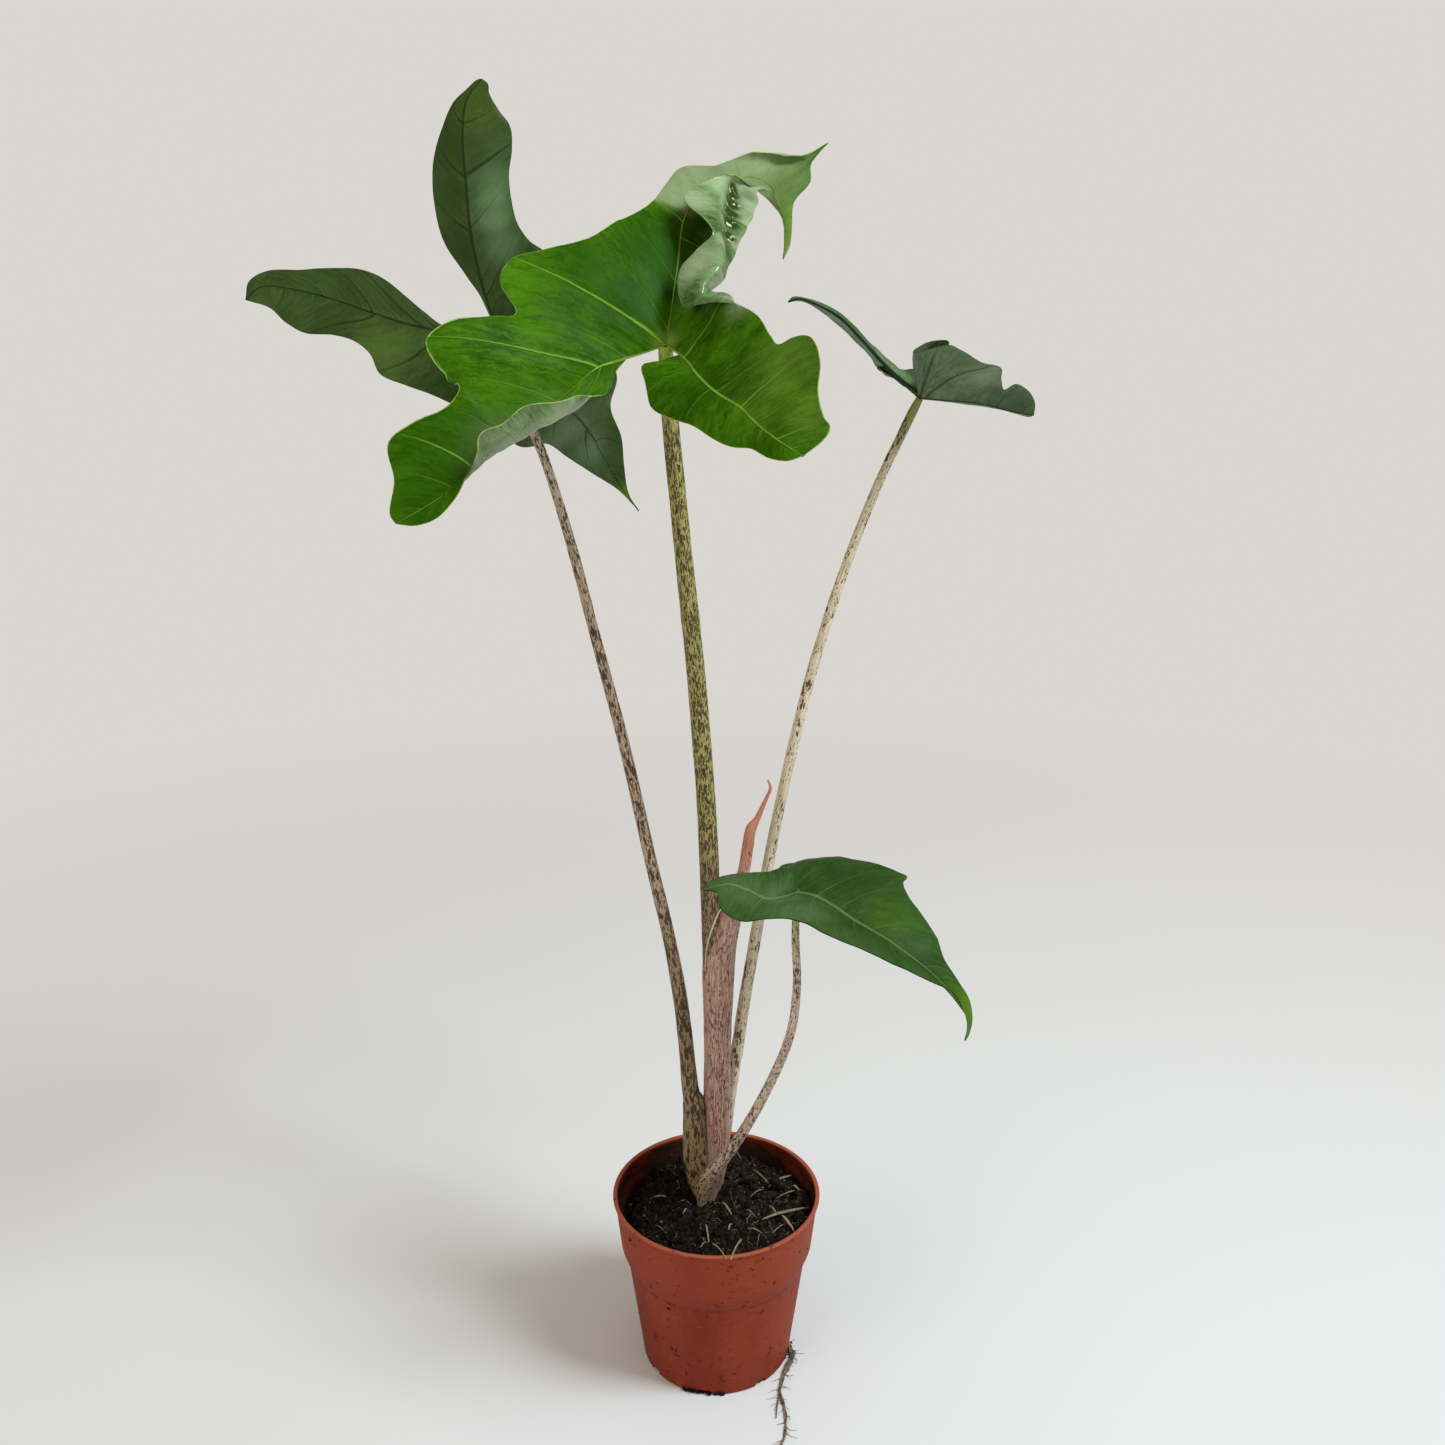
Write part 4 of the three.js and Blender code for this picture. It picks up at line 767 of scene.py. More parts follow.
def vein_gap(grid, number):
    """Mm from one vein to the next: one over the slope of the vein number, measured on the surface."""
    along, out = np.gradient(grid, axis=0), np.gradient(grid, axis=1)
    slope_along, slope_out = np.gradient(number, axis=0), np.gradient(number, axis=1)
    e, f, g = (along * along).sum(-1), (along * out).sum(-1), (out * out).sum(-1)
    area = np.maximum(e * g - f * f, 1e-6)
    steepness = (g * slope_along**2 - 2 * f * slope_along * slope_out + e * slope_out**2) / area
    return np.clip(1 / np.sqrt(np.maximum(steepness, 1e-8)), 2.0, 60.0)


def side_fields(grid, along, side, ribs):
    """Vein number, gap and strength, then mm to the rib, mm to the margin and rib strength, then two reliefs."""
    to_rib = run_along(grid)
    width = to_rib[:, -1:]
    out = to_rib / np.maximum(width, 0.3)
    number, weight = vein_numbers(along, out, side["veins"])
    weight = weight * (1 - 0.75 * out)
    gap = vein_gap(grid, number)
    reach = np.linalg.norm(grid[:, 0] - ribs["front"][0], axis=1)
    rib_end = side.get("fade", 1.0) * max(reach.max(), 1.0)
    strength = np.clip(1 - reach / rib_end, 0, 1)[:, None] + 0 * out
    puff = 0.5 * (1 - np.cos(TURN * number)) * np.sqrt(np.sin(math.pi * np.clip(out, 0, 1)))
    puff = puff * np.clip(width / 12, 0, 1) * np.clip(gap / 8, 0, 1) * (0.4 + weight)
    run = run_along(grid[:, grid.shape[1] // 2])[:, None] + 0 * out
    ripple = patches(run, to_rib, 9.0, 21) + 0.2 * patches(run, to_rib, 3.5, 22)
    ripple = ripple * np.clip(to_rib / 8, 0, 1) * (0.45 if grid.shape[1] == FOLDED_COLUMNS else 0.3)
    return np.stack([number, gap, weight, to_rib, width - to_rib, strength, puff, ripple], axis=-1)


# %% Blades as closed sheets
def blade_sheet(leaf, ribs):
    """All sides of a leaf as one triangle mesh: points, triangles, and fields for each corner and vertex."""
    all_points, all_fields, triangles, count = [], [], [], 0
    for side in leaf["sides"]:
        grid, along = side_grid(ribs, side)
        size = grid.shape[0] * grid.shape[1]
        number = count + np.arange(size).reshape(grid.shape[:2])
        a, b, c, d = number[:-1, :-1], number[1:, :-1], number[1:, 1:], number[:-1, 1:]
        triangles += [np.stack([a, b, c], -1).reshape(-1, 3), np.stack([a, c, d], -1).reshape(-1, 3)]
        all_points.append(grid.reshape(-1, 3))
        all_fields.append(side_fields(grid, along, side, ribs).reshape(size, -1))
        count += size
    points, fields, corners = np.concatenate(all_points), np.concatenate(all_fields), np.concatenate(triangles)
    hundredths = np.round(points * 100 + 0.137).astype(int)
    _, first, merged = np.unique(hundredths, axis=0, return_index=True, return_inverse=True)
    faces = merged.ravel()[corners]
    real = (faces[:, 0] != faces[:, 1]) & (faces[:, 1] != faces[:, 2]) & (faces[:, 0] != faces[:, 2])
    return points[first], faces[real], fields[corners[real]], fields[first]


def open_edges(faces):
    """The directed edges that no neighbour runs back along: each as (triangle, corner)."""
    end, most = np.roll(faces, -1, axis=1), faces.max() + 1
    return np.nonzero(~np.isin(faces * most + end, end * most + faces))


def blade_tint(leaf, points):
    """The strongest of the tints at each point, partly painted light and shade: its amount times exp(-(distance /
    size) cubed).
    """
    tint = np.zeros((len(points), 3))
    # Painted sheen: lighter past the crest, by how far behind the axis the point is
    if "painted_sheen_beyond_crest" in leaf:
        *away, amount = leaf["painted_sheen_beyond_crest"]
        tint[:, 0] = amount * np.interp(points[:, 1], away, [0, 1, 1, 0])
    for row in leaf["tints"]:
        near = np.exp(-(np.linalg.norm(points - seen(row[:3]), axis=1) / row[3]) ** 3)
        tint = np.maximum(tint, near[:, None] * row[4:])
    return tint


def make_blade(name, slot, leaf, upper, lower, rib_height, crest, puff):
    """The sheet, moved out along its normals for the upper face and in for the lower, and a wall at the margin."""
    ribs = {rib: seen(spots) for rib, spots in leaf["ribs"].items()}
    points, faces, fields, at_vertex = blade_sheet(leaf, ribs)
    normals = vertex_normals(points, faces)
    to_rib, strength, swell, ripple = (at_vertex[:, k] for k in (3, 5, 6, 7))
    middle = points + normals * (puff * swell + ripple)[:, None]
    ridge = np.exp(-(to_rib / (1.0 + 1.6 * strength)) ** 2) * (0.25 + 0.75 * strength)
    top = middle + normals * (BLADE_THICKNESS / 2 + crest * ridge)[:, None]
    bottom = middle - normals * (BLADE_THICKNESS / 2 + rib_height * ridge)[:, None]
    triangle, corner = open_edges(faces)
    next_corner = (corner + 1) % 3
    start, end = faces[triangle, corner], faces[triangle, next_corner]
    wall = np.stack([start, start + len(points), end + len(points), end], axis=-1)
    wall_fields = np.stack([fields[triangle, k] for k in (corner, corner, next_corner, next_corner)], axis=1)
    corners = np.concatenate([part.reshape(-1, 8) for part in (fields, fields[:, ::-1], wall_fields)])
    which = np.repeat([0, 1, 0], [len(faces), len(faces), len(wall)])
    tint = blade_tint(leaf, points)
    make_piece(name + "_blade", name, slot, np.concatenate([top, bottom]),
               [faces, faces[:, ::-1] + len(points), wall], [upper, lower], which,
               veins=corners[:, 0:3], blade=corners[:, 3:6], tint=np.concatenate([tint, tint]))


# The last three: how far the ribs stand out below and above, and how far the blade puffs up, in mm
make_blade("leaf_centre", "leaf_bright_green", CENTRE_LEAF, bright_upper, bright_lower, 1.4, 0.35, 0.7)
make_blade("leaf_left", "leaf_grey_green", LEFT_LEAF, deep_upper, grey_lower, 1.1, -0.1, 0.5)
make_blade("leaf_right", "leaf_grey_green", RIGHT_LEAF, deep_upper, pale_lower, 0.9, -0.1, 0.4)
make_blade("leaf_front", "leaf_deep_green", FRONT_LEAF, front_upper, grey_lower, 1.0, -0.25, 0.5)

# %% [markdown]
# ## Stems
# A stem is an oval profile carried along a curve. Its pattern must bend with it, so each vertex
# carries its own straightened place: the profile's point and the distance along the stem, in mm.

# %% Tubes
def whole_turn(sides):
    """The angles of this many even steps round a circle."""
    return TURN * np.arange(sides) / sides


def ring_faces(rings, sides):
    """Four-sided faces from ring to ring, and triangles to a pole at each end. The poles come after the rings."""
    number = np.arange(rings * sides).reshape(rings, sides)
    ahead = np.roll(number, -1, axis=1)
    walls = np.stack([number[:-1], ahead[:-1], ahead[1:], number[1:]], axis=-1).reshape(-1, 4)
    low = np.full(sides, rings * sides)
    caps = [np.stack([ahead[0], number[0], low], axis=-1), np.stack([number[-1], ahead[-1], low + 1], axis=-1)]
    return [walls, np.concatenate(caps)]


def tube(points, half_widths, ring_step, sides, ripple=0.0, seed=0, facing=(0, 1, 0)):
    """Rings round a curve: half width times cosine across, half depth times sine away, plus slow random swells."""
    lengths = run_along(points)
    rings = max(int(lengths[-1] / ring_step), 4)
    run = np.linspace(0, lengths[-1], rings)
    places = np.interp(run, lengths, np.arange(len(points)))
    centre = smooth_curve(points, places)
    tangent = unit(np.gradient(centre, axis=0))
    across = unit(np.cross(facing, tangent))
    away = np.cross(tangent, across)
    widths = smooth_curve(half_widths, places)
    turn = whole_turn(sides)
    swell = 1 + ripple * patches(run, 0 * run + seed, 9.0, seed)
    profile = np.stack([widths[:, :1] * np.cos(turn), widths[:, 1:] * np.sin(turn)], axis=-1) * swell[:, None, None]
    body = centre[:, None] + across[:, None] * profile[..., :1] + away[:, None] * profile[..., 1:]
    straight = np.concatenate([profile, np.broadcast_to(run[:, None, None], (rings, sides, 1))], axis=-1)
    body = np.concatenate([body.reshape(-1, 3), centre[:1], centre[-1:]])
    straight = np.concatenate([straight.reshape(-1, 3), [[0, 0, 0], [0, 0, run[-1]]]])
    return body, ring_faces(rings, sides), straight


# %% Stems
# Spots from below the soil to the leaf, as [across, down, away], with the half width in millimetres
# across the picture and, where it differs, the one along the line of sight
LEFT_STEM = rows("""
    705,1225,8,2.4 703.5,1203,9,2.8 699.5,1182,10.5,6.6,5.6 696.2,1155,11,7.6,6.4 694.8,1125,10.5,6.9,6
    693.9,1102,11,6.4,5.6 691.2,1093,11,4.95 685.5,1040,12,4.3 680.5,1000,13,4.1 669.5,940,15,3.6 650.5,860,17,3.4
    637,800,19,3.2 623,740,21,3.1 607,680,23,3 591,620,25,2.8 575.5,560,26,2.7 558,500,28,2.5 543,455,29,2.4
    531,425,30,2.3 523,390,30,2.2""")
CENTRE_STEM = rows("""
    708,1225,9,2.2 708,1203,10,2.6 711.5,1180,12,3.8 715,1150,14,5 715.5,1100,14,5.4 714,1000,13,5.4 712,950,12,5.4
    709,860,10,5.3 706,800,9,5.2 701.5,740,8,5 696.5,680,7,4.9 690.5,620,5,4.8 684,560,4,4.5 678,500,3,4.4
    672,440,1,4.2 668,390,0,4 665.5,347,0,3.6""")
RIGHT_STEM = rows("""
    712,1222,20,3.4 716,1190,22,4 719.5,1160,24.5,4.3 724.5,1130,25.5,4.1 730.3,1090,25,3.8 738.5,1040,23,3.6
    744.5,1000,22,3.5 755,940,21,3.3 769,860,20,3.1 781,800,20,3 794.5,740,20,2.9 809.5,680,20,2.8 827.5,620,20,2.7
    848,560,20,2.5 871.5,500,20,2.35 884.5,470,20,2.3 900,438,20,2.3 912,413,19,2.3 919.6,398.5,18.9,1.8""")
FRONT_STEM = rows("""
    702,1222,5,2 702,1202,5,2.8 703.5,1190,5,5,4 708.5,1178,4,5,4.2 717,1166.5,1,4.2,3.6 729,1152,-3,3.3,3
    744,1130,-8,3 761.5,1100,-13,2.8 781,1060,-18,2.6 788.5,1040,-20,2.5 793.5,1020,-21,2.4 797,980,-23,2.2
    795.5,940,-24,2.1 796,915,-25,2 798,893,-25,2""")
CATAPHYLL = rows("""
    708,1225,9,2.8 708.5,1203,10,3.2 712,1180,12.5,6.4 715.5,1150,14.5,8 717,1097,14,7.8 717.5,1040,13.5,7.8
    718,1000,13.5,8.6 719,962,13,9.1 723,940,12.5,8.2 727.5,926,12,7 733,903,11,6 740,885,10,4.4 744,870,9.5,3.3
    748,845,9,3.2 751,829,9,3 757,819,9,1.7 762,808,9,1.3 767,797,9,1 770.5,788,9,0.8 768,780,9,0.5""")


# %% [markdown]
# ## Mottling as a shared effect
# The stems are pale with dark dashes that run along them. They are the cells of a Voronoi pattern,
# made ragged by one noise and crowded by another. The group reads the straightened place, so the
# dashes follow the bend.

# %% The mottling group
def build_mottling(graph, size, stretch, cover, cluster):
    """A dash is where the distance to a cell's middle is less than the cover, more or less by the cluster."""
    x, y, z = graph.parts(graph.field("straight"))
    scale = graph.math("DIVIDE", 1.0, size)
    place = graph.join(x, y, graph.math("DIVIDE", z, stretch))
    ragged = graph.noise(place, scale * 1.3, roughness=0.5, output="Color")
    ragged = graph.vector("SUBTRACT", {0: ragged, 1: (0.5, 0.5, 0.5)})
    ragged = graph.vector("SCALE", {0: ragged, "Scale": size * 2.0})
    ragged = graph.vector("ADD", {0: place, 1: ragged})
    cells = graph.add("ShaderNodeTexVoronoi", {"Vector": ragged, "Scale": scale}, output="Distance")
    limit = cover + cluster * (graph.noise(place, scale * 0.3, detail=1.0) - 0.5)
    drawn_out = graph.join(x, y, graph.math("DIVIDE", z, 14.0))
    return {"Dashes": cells.ease(limit, limit - 0.07), "Streaks": graph.noise(drawn_out, 1.4, roughness=0.6)}


DASHES = {"Size": 3.0, "Stretch": 3.0, "Cover": 0.4, "Cluster": 0.4}
MOTTLING = shared_effect("stem mottling", DASHES, build_mottling)


def stem_finish(name, pale, warm, dark, foot, top, dense, large, small):
    """A pale and a warm tone in streaks, other tones at the foot and the top, and two sizes of dark dash.

    The large dashes are denser below a place along the stem: their cover grows there by `dense`.
    """
    (foot_tone, foot_end), (top_tone, top_start, top_end), (more, dense_end) = foot, top, dense
    large, small = dict(zip(DASHES, large)), dict(zip(DASHES, small))

    def build(graph):
        run = graph.parts(graph.field("straight"))[2]
        cover = run.ease(dense_end + 50, dense_end - 50) * more + large["Cover"]
        large_marks = graph.group(MOTTLING, large | {"Cover": cover})
        small_marks = graph.group(MOTTLING, small)
        streaks = large_marks["Streaks"]
        marked = run.ease(top_end + 8, top_end - 8) * 0.9
        colour = graph.coats(
            pale, (streaks.ease(0.38, 0.62), warm), (run.ease(foot_end + 14, foot_end - 14), foot_tone),
            (run.ease(top_start, top_end), top_tone), (small_marks["Dashes"] * marked, dark),
            (large_marks["Dashes"] * marked, dark))
        bump = graph.bump(streaks - large_marks["Dashes"] * 0.3, 0.25 * MM)
        return {"Base Color": colour, "Roughness": streaks * 0.15 + 0.42, "Normal": bump}

    return finish_of(name, build, Specular_IOR_Level=0.35)


# Each piece: its slot and line, then its finish: the pale, warm and dark tones, the foot's tone and
# end in mm, the top's tone, start and end, how much denser the dashes are below a place, and the
# size, stretch, cover and cluster of the large and of the small dashes
STEMS = {
    "stem_left": (
        "stem_blotched", LEFT_STEM, "blotched beige stem", (0.5, 0.375, 0.265), (0.33, 0.22, 0.14),
        (0.04, 0.022, 0.012), ((0.3, 0.205, 0.1), 200), ((0.5, 0.41, 0.28), 400, 470), (0.11, 330),
        (2.0, 3.4, 0.4, 0.5), (1.0, 3.5, 0.39, 0.5)),
    "stem_centre": (
        "stem_olive", CENTRE_STEM, "speckled olive stem", (0.42, 0.37, 0.1), (0.33, 0.28, 0.09),
        (0.04, 0.03, 0.014), ((0.28, 0.19, 0.09), 240), ((0.32, 0.42, 0.06), 470, 500), (0.05, 300),
        (1.2, 3.6, 0.46, 0.3), (0.7, 4.5, 0.45, 0.3)),
    "stem_right": (
        "stem_pale", RIGHT_STEM, "pale cream stem", (0.8, 0.69, 0.51), (0.6, 0.49, 0.33),
        (0.045, 0.024, 0.012), ((0.42, 0.34, 0.18), 70), ((0.26, 0.28, 0.08), 458, 490), (0.06, 260),
        (2.0, 3.2, 0.29, 0.8), (0.9, 3.2, 0.28, 0.7)),
    "stem_front": (
        "stem_blotched", FRONT_STEM, "pink beige stem", (0.7, 0.56, 0.44), (0.5, 0.36, 0.28),
        (0.045, 0.02, 0.014), ((0.42, 0.31, 0.19), 34), ((0.42, 0.4, 0.17), 190, 225), (0.04, 90),
        (1.5, 2.4, 0.36, 0.7), (0.9, 2.4, 0.38, 0.5)),
    "cataphyll": (
        "sheath_pink", CATAPHYLL, "dusty pink sheath", (0.55, 0.37, 0.285), (0.34, 0.18, 0.13),
        (0.12, 0.045, 0.035), ((0.4, 0.29, 0.2), 50), ((0.54, 0.22, 0.135), 212, 246), (0.05, 120),
        (1.5, 2.8, 0.28, 0.9), (0.8, 6.0, 0.33, 0.7)),
}
for name, (slot, stem, *finish) in STEMS.items():
    spots = np.array([row[:3] for row in stem])
    widths = np.array([(row[3], row[-1]) for row in stem])
    body, faces, straight = tube(seen(spots), widths, 1.2, 40, ripple=0.025, seed=len(stem))
    print(name, "is", round(straight[:, 2].max()), "mm long")
    make_piece(name + "_skin", name, slot, body, faces, [stem_finish(*finish)], straight=straight)

# %% The sheath's papery margin
# A thin edge, where the sheath parts from the centre stem. Its pattern starts above the foot's tone
PAPERY_START = 40
margin_line = seen(table("705,966,8 706.4,951,7.5 709,938,6.2 712.6,927,5.6 718,914,5 724.5,903,5"))
margin_widths = table("0.25,0.2 0.4,0.3 0.45,0.3 0.45,0.3 0.4,0.3 0.25,0.2")
body, faces, straight = tube(margin_line, margin_widths, 0.6, 10)
straight[:, 2] += PAPERY_START
papery = stem_finish(
    "papery margin", (0.75, 0.6, 0.5), (0.6, 0.42, 0.34), (0.3, 0.15, 0.12), ((0.75, 0.6, 0.5), 0),
    ((0.75, 0.6, 0.5), 400, 410), (0.0, 0), (1.0, 3.0, 0.2, 0.4), (0.8, 6.0, 0.2, 0.4))
make_piece("cataphyll_margin", "cataphyll", "sheath_pink", body, faces, [papery], straight=straight)

# %% [markdown]
# ## The pot
# The pot is one thin moulded wall, turned about its axis: a plain taper, a chamfered step and a
# wide band under a thin lip. Drain holes sit at the corner of the floor, and a Boolean cuts them.

# %% The pot's profile
POT_HEIGHT = 105.4
POT_RADIUS = 60.0
POT_WALL = 1.3
POT_FLOOR = 1.8
SOIL_LEVEL = 93.5
OUTSIDE = [(43.5, 0.0), (43.9, 3.6), (45.5, 16.0), (51.8, 64.0), (55.6, 74.0), (58.9, 104.3)]


def rounded(corners, radius, steps=5):
    """A polyline whose inner corners are replaced by quadratic curves that start `radius` before them."""
    corners = np.array(corners, float)
    t = np.linspace(0, 1, steps)[:, None]
    parts = [corners[:1]]
    for before, corner, after in zip(corners, corners[1:], corners[2:]):
        reach = [min(radius, np.linalg.norm(other - corner) / 2.2) for other in (before, after)]
        start = corner + (before - corner) / np.linalg.norm(before - corner) * reach[0]
        end = corner + (after - corner) / np.linalg.norm(after - corner) * reach[1]
        parts.append(start * (1 - t) ** 2 + corner * 2 * t * (1 - t) + end * t**2)
    return np.concatenate([*parts, corners[-1:]])


def around(turn, radius, height):
    """Points at these angles, distances from the axis and heights: radius times cosine and times sine."""
    x = radius * np.cos(turn)
    return np.stack([x, radius * np.sin(turn), height + 0 * x], axis=-1)


def turned(profile, sides):
    """Every profile point carried round the Z axis. The profile starts and ends on the axis, as two poles."""
    rim = profile[1:-1]
    body = around(whole_turn(sides), rim[:, :1], rim[:, 1:])
    poles = [[0, 0, profile[0, 1]], [0, 0, profile[-1, 1]]]
    return np.concatenate([body.reshape(-1, 3), poles]), ring_faces(len(rim), sides)


lip = [(POT_RADIUS, POT_HEIGHT - 1.2), (POT_RADIUS, POT_HEIGHT), (POT_RADIUS - 2.3, POT_HEIGHT)]
inside = [(radius - POT_WALL, max(height, POT_FLOOR)) for radius, height in reversed(OUTSIDE[:1] + OUTSIDE[2:])]
pot_points, pot_faces = turned(rounded([(0, 0), *OUTSIDE, *lip, *inside, (0, POT_FLOOR)], 1.2), 240)


# %% The pot's finish
def build_plastic(graph):
    """Red-brown in slow clouds, lighter on the band and where it is scuffed, lighter still on the lip as a painted
    highlight, painted shade inside and in the step under the band, with peat smeared on it, inside partly as painted
    shade.
    """
    grain = graph.noise(graph.spot(), 900.0, detail=2.0)
    slow = graph.noise(graph.spot((1, 1, 0.4)), 30.0, detail=5.0)
    scuff = graph.noise(graph.spot((1, 1, 7)), 140.0, detail=4.0)
    dust = graph.noise(graph.spot(), 210.0, detail=6.0, roughness=0.7)
    smear = graph.noise(graph.spot((1, 1, 2.5)), 34.0, detail=5.0, roughness=0.65)
    x, y, height = graph.parts(graph.spot())
    # Painted shade: a dark line in the step under the band
    crease_painted_shade = height.ease(0.0615, 0.0635) * height.ease(0.066, 0.0645)
    # Painted shade: the inner wall above the soil is darker, as it is lit less
    beside = graph.math("SQRT", x * x + y * y) - height * 0.109
    inside = beside.ease(0.0471, 0.0467) * height.ease(0.1048, 0.1035) * height.ease(0.084, 0.088)
    # Peat smeared on the inner wall near the soil, partly painted shade; it joins the dust and smears in dirt
    inside_smear_and_shade = (smear - height * 14.0).ease(-0.95, -0.8) * inside
    dirt = graph.math("MAXIMUM", dust.ease(0.6, 0.66) * 0.8, inside_smear_and_shade)
    dirt = graph.math("MAXIMUM", dirt, smear.ease(0.62, 0.76) * 0.4)
    # In these coats the top of the lip is lighter, a painted highlight
    colour = graph.coats(
        (0.2, 0.023, 0.008), (slow.ease(0.3, 0.7), (0.275, 0.042, 0.016)),
        (height.ease(0.07, 0.078) * 0.4, (0.34, 0.06, 0.026)), (scuff.ease(0.58, 0.74) * 0.3, (0.42, 0.14, 0.09)),
        (crease_painted_shade * 0.2, (0.09, 0.012, 0.004)), (height.ease(0.1035, 0.1052) * 0.6, (0.46, 0.13, 0.07)),
        (inside * 0.8, (0.1, 0.012, 0.006)), (dirt, (0.03, 0.014, 0.009)))
    bump = graph.bump(grain * 0.03 + slow * 0.12 + dirt * 0.15, MM)
    return {"Base Color": colour, "Roughness": slow * 0.15 + dirt * 0.25 + 0.46, "Normal": bump}


plastic = finish_of("terracotta plastic", build_plastic, Specular_IOR_Level=0.1)
pot = make_piece("pot_shell", "pot", "pot_plastic", pot_points, pot_faces, [plastic])

# %% Drain holes
DRAIN_COUNT = 8
DRAIN_TURNS = math.radians(-9) + whole_turn(DRAIN_COUNT)
DRAIN_SIZE = (14.5, 7.0, 6.0)
DRAIN_INNER_RADIUS = 33.0
SHARP_ANGLE = math.radians(30)


def spun(points, turn):
    """Points turned about the Z axis: x cos - y sin, and x sin + y cos."""
    x, y, z = (points[..., k] for k in range(3))
    cos, sin = np.cos(turn), np.sin(turn)
    return np.stack([x * cos - y * sin, x * sin + y * cos, z + 0 * cos], axis=-1)


def cut_drain_holes(piece):
    """One Boolean takes away eight boxes, fanned round the axis, and the boxes are removed again."""
    corners = (np.array(list(np.ndindex(2, 2, 2))) - [0, 0.5, 0.5]) * DRAIN_SIZE + [DRAIN_INNER_RADIUS, 0, 0]
    box = np.array([(0, 1, 3, 2), (4, 6, 7, 5), (0, 4, 5, 1), (2, 3, 7, 6), (0, 2, 6, 4), (1, 5, 7, 3)])
    faces = (box + 8 * np.arange(DRAIN_COUNT)[:, None, None]).reshape(-1, 4)
    points = spun(corners, DRAIN_TURNS[:, None]).reshape(-1, 3) * MM
    cutter = put("drain cutter", bpy.data.meshes.new("drain cutter"))
    cutter.data.from_pydata(points.tolist(), [], faces.tolist())
    boolean = piece.modifiers.new("drain holes", "BOOLEAN")
    boolean.object = cutter
    boolean.solver = "EXACT"
    cut = bpy.data.meshes.new_from_object(piece.evaluated_get(bpy.context.evaluated_depsgraph_get()))
    piece.modifiers.clear()
    cut.set_sharp_from_angle(angle=SHARP_ANGLE)
    piece.data = cut
    bpy.data.objects.remove(cutter)
    print("the pot has", len(cut.vertices), "vertices after the cut")


cut_drain_holes(pot)


# %% [markdown]
# ## The peat
# Peat is a dark, crumbly ground of clods, with pale straws and roots lying in it. The ground is a
# disc of rings whose height is a sum of random patches from coarse to fine. Loose crumbs and
# straws are set on it, all joined in one mesh, with a field that says how pale each one is.

# %% The ground
def outline_radius(height):
    """The outside radius of the pot at a height, straight from corner to corner."""
    radii, heights = np.array(OUTSIDE).T
    return np.interp(height, heights, radii)


def ground_height(x, y):
    """The frame's bumps, the sunk edge at the left, four sizes of random clod and a mound behind the stems."""
    radius, turn = np.hypot(x, y), np.arctan2(y, x)
    bumps = np.sin(x * 0.31 + 1.3) * np.cos(y * 0.27) + 0.6 * np.sin(x * 0.62 - y * 0.55 + 2)
    left = np.maximum(0, np.cos(turn - math.pi * 1.08)) ** 2
    sunk = 11 * left * np.exp(-(((outline_radius(SOIL_LEVEL) - POT_WALL - radius) / 9) ** 2))
    clods = 2.2 * patches(x, y, 10.0, 11) + 2.4 * np.abs(patches(x, y, 6.0, 14)) + 1.6 * patches(x, y, 3.4, 12)
    grains = 0.9 * patches(x, y, 1.5, 13)
    mound = 3.2 * np.exp(-((x - 9) ** 2 + (y - 15) ** 2) / 90) - 1.0 * np.exp(-((x - 42) ** 2 + y**2) / 300)
    return SOIL_LEVEL + 1.1 * bumps - sunk + clods + grains + mound - 1.8


RINGS, SPOKES = 110, 360
GROUND_RADIUS = 55.4
SKIRT = (76.0, 64.0, 2.1)
ground = around(whole_turn(SPOKES), GROUND_RADIUS * np.linspace(0, 1, RINGS + 1)[1:, None], 0.0)
ground[..., 2] = ground_height(ground[..., 0], ground[..., 1])
skirt = [around(whole_turn(SPOKES), outline_radius(z) - POT_WALL - 0.4, z) for z in SKIRT]
poles = [[0, 0, ground_height(0.0, 0.0)], [0, 0, SKIRT[-1]]]
ground = np.concatenate([*ground, *skirt, poles])
walls, caps = ring_faces(RINGS + len(SKIRT), SPOKES)
ground_faces = [walls[:, [0, 3, 2, 1]], caps[:, [1, 0, 2]]]  # turned over, as these rings run outwards


# %% Crumbs and straws
def crumb_shape():
    """A cube whose sides are cut in two and whose points are pushed out to a ball: 24 faces."""
    grid = np.array(list(np.ndindex(3, 3, 3))) - 1
    grid = grid[grid.any(axis=1)]
    index = {tuple(spot): i for i, spot in enumerate(grid)}
    faces = []
    for axis, side, u, v in np.ndindex(3, 2, 2, 2):
        corners = [(2 * side - 1, u + du - 1, v + dv - 1) for du, dv in ((0, 0), (1, 0), (1, 1), (0, 1))]
        face = [index[tuple(np.roll(corner, axis))] for corner in corners]
        faces.append(face if side else face[::-1])
    return unit(grid), np.array(faces)


def crumbs(places, sizes, seed):
    """Balls of random stretch and turn, each point pushed in or out by a random share."""
    draw = np.random.default_rng(seed)
    ball, faces = crumb_shape()
    count = len(places)
    shape = ball * draw.uniform(0.6, 1.35, (count, len(ball), 1)) * draw.uniform(0.35, 1.3, (count, 1, 3))
    body = spun(shape, draw.uniform(0, TURN, (count, 1))) * sizes[:, None, None] + places[:, None]
    return body.reshape(-1, 3), [(faces + len(ball) * np.arange(count)[:, None, None]).reshape(-1, 4)]


def joined(parts):
    """Several (points, face arrays, how pale) as one, their faces renumbered."""
    points, faces, pale, count = [], [], [], 0
    for body, arrays, value in parts:
        points.append(body)
        faces += [array + count for array in arrays]
        pale.append(np.broadcast_to(value, (len(body),)))
        count += len(body)
    return np.concatenate(points), faces, np.concatenate(pale)


def heading(bearing):
    """The flat direction at this angle."""
    return np.array([math.cos(bearing), math.sin(bearing)])


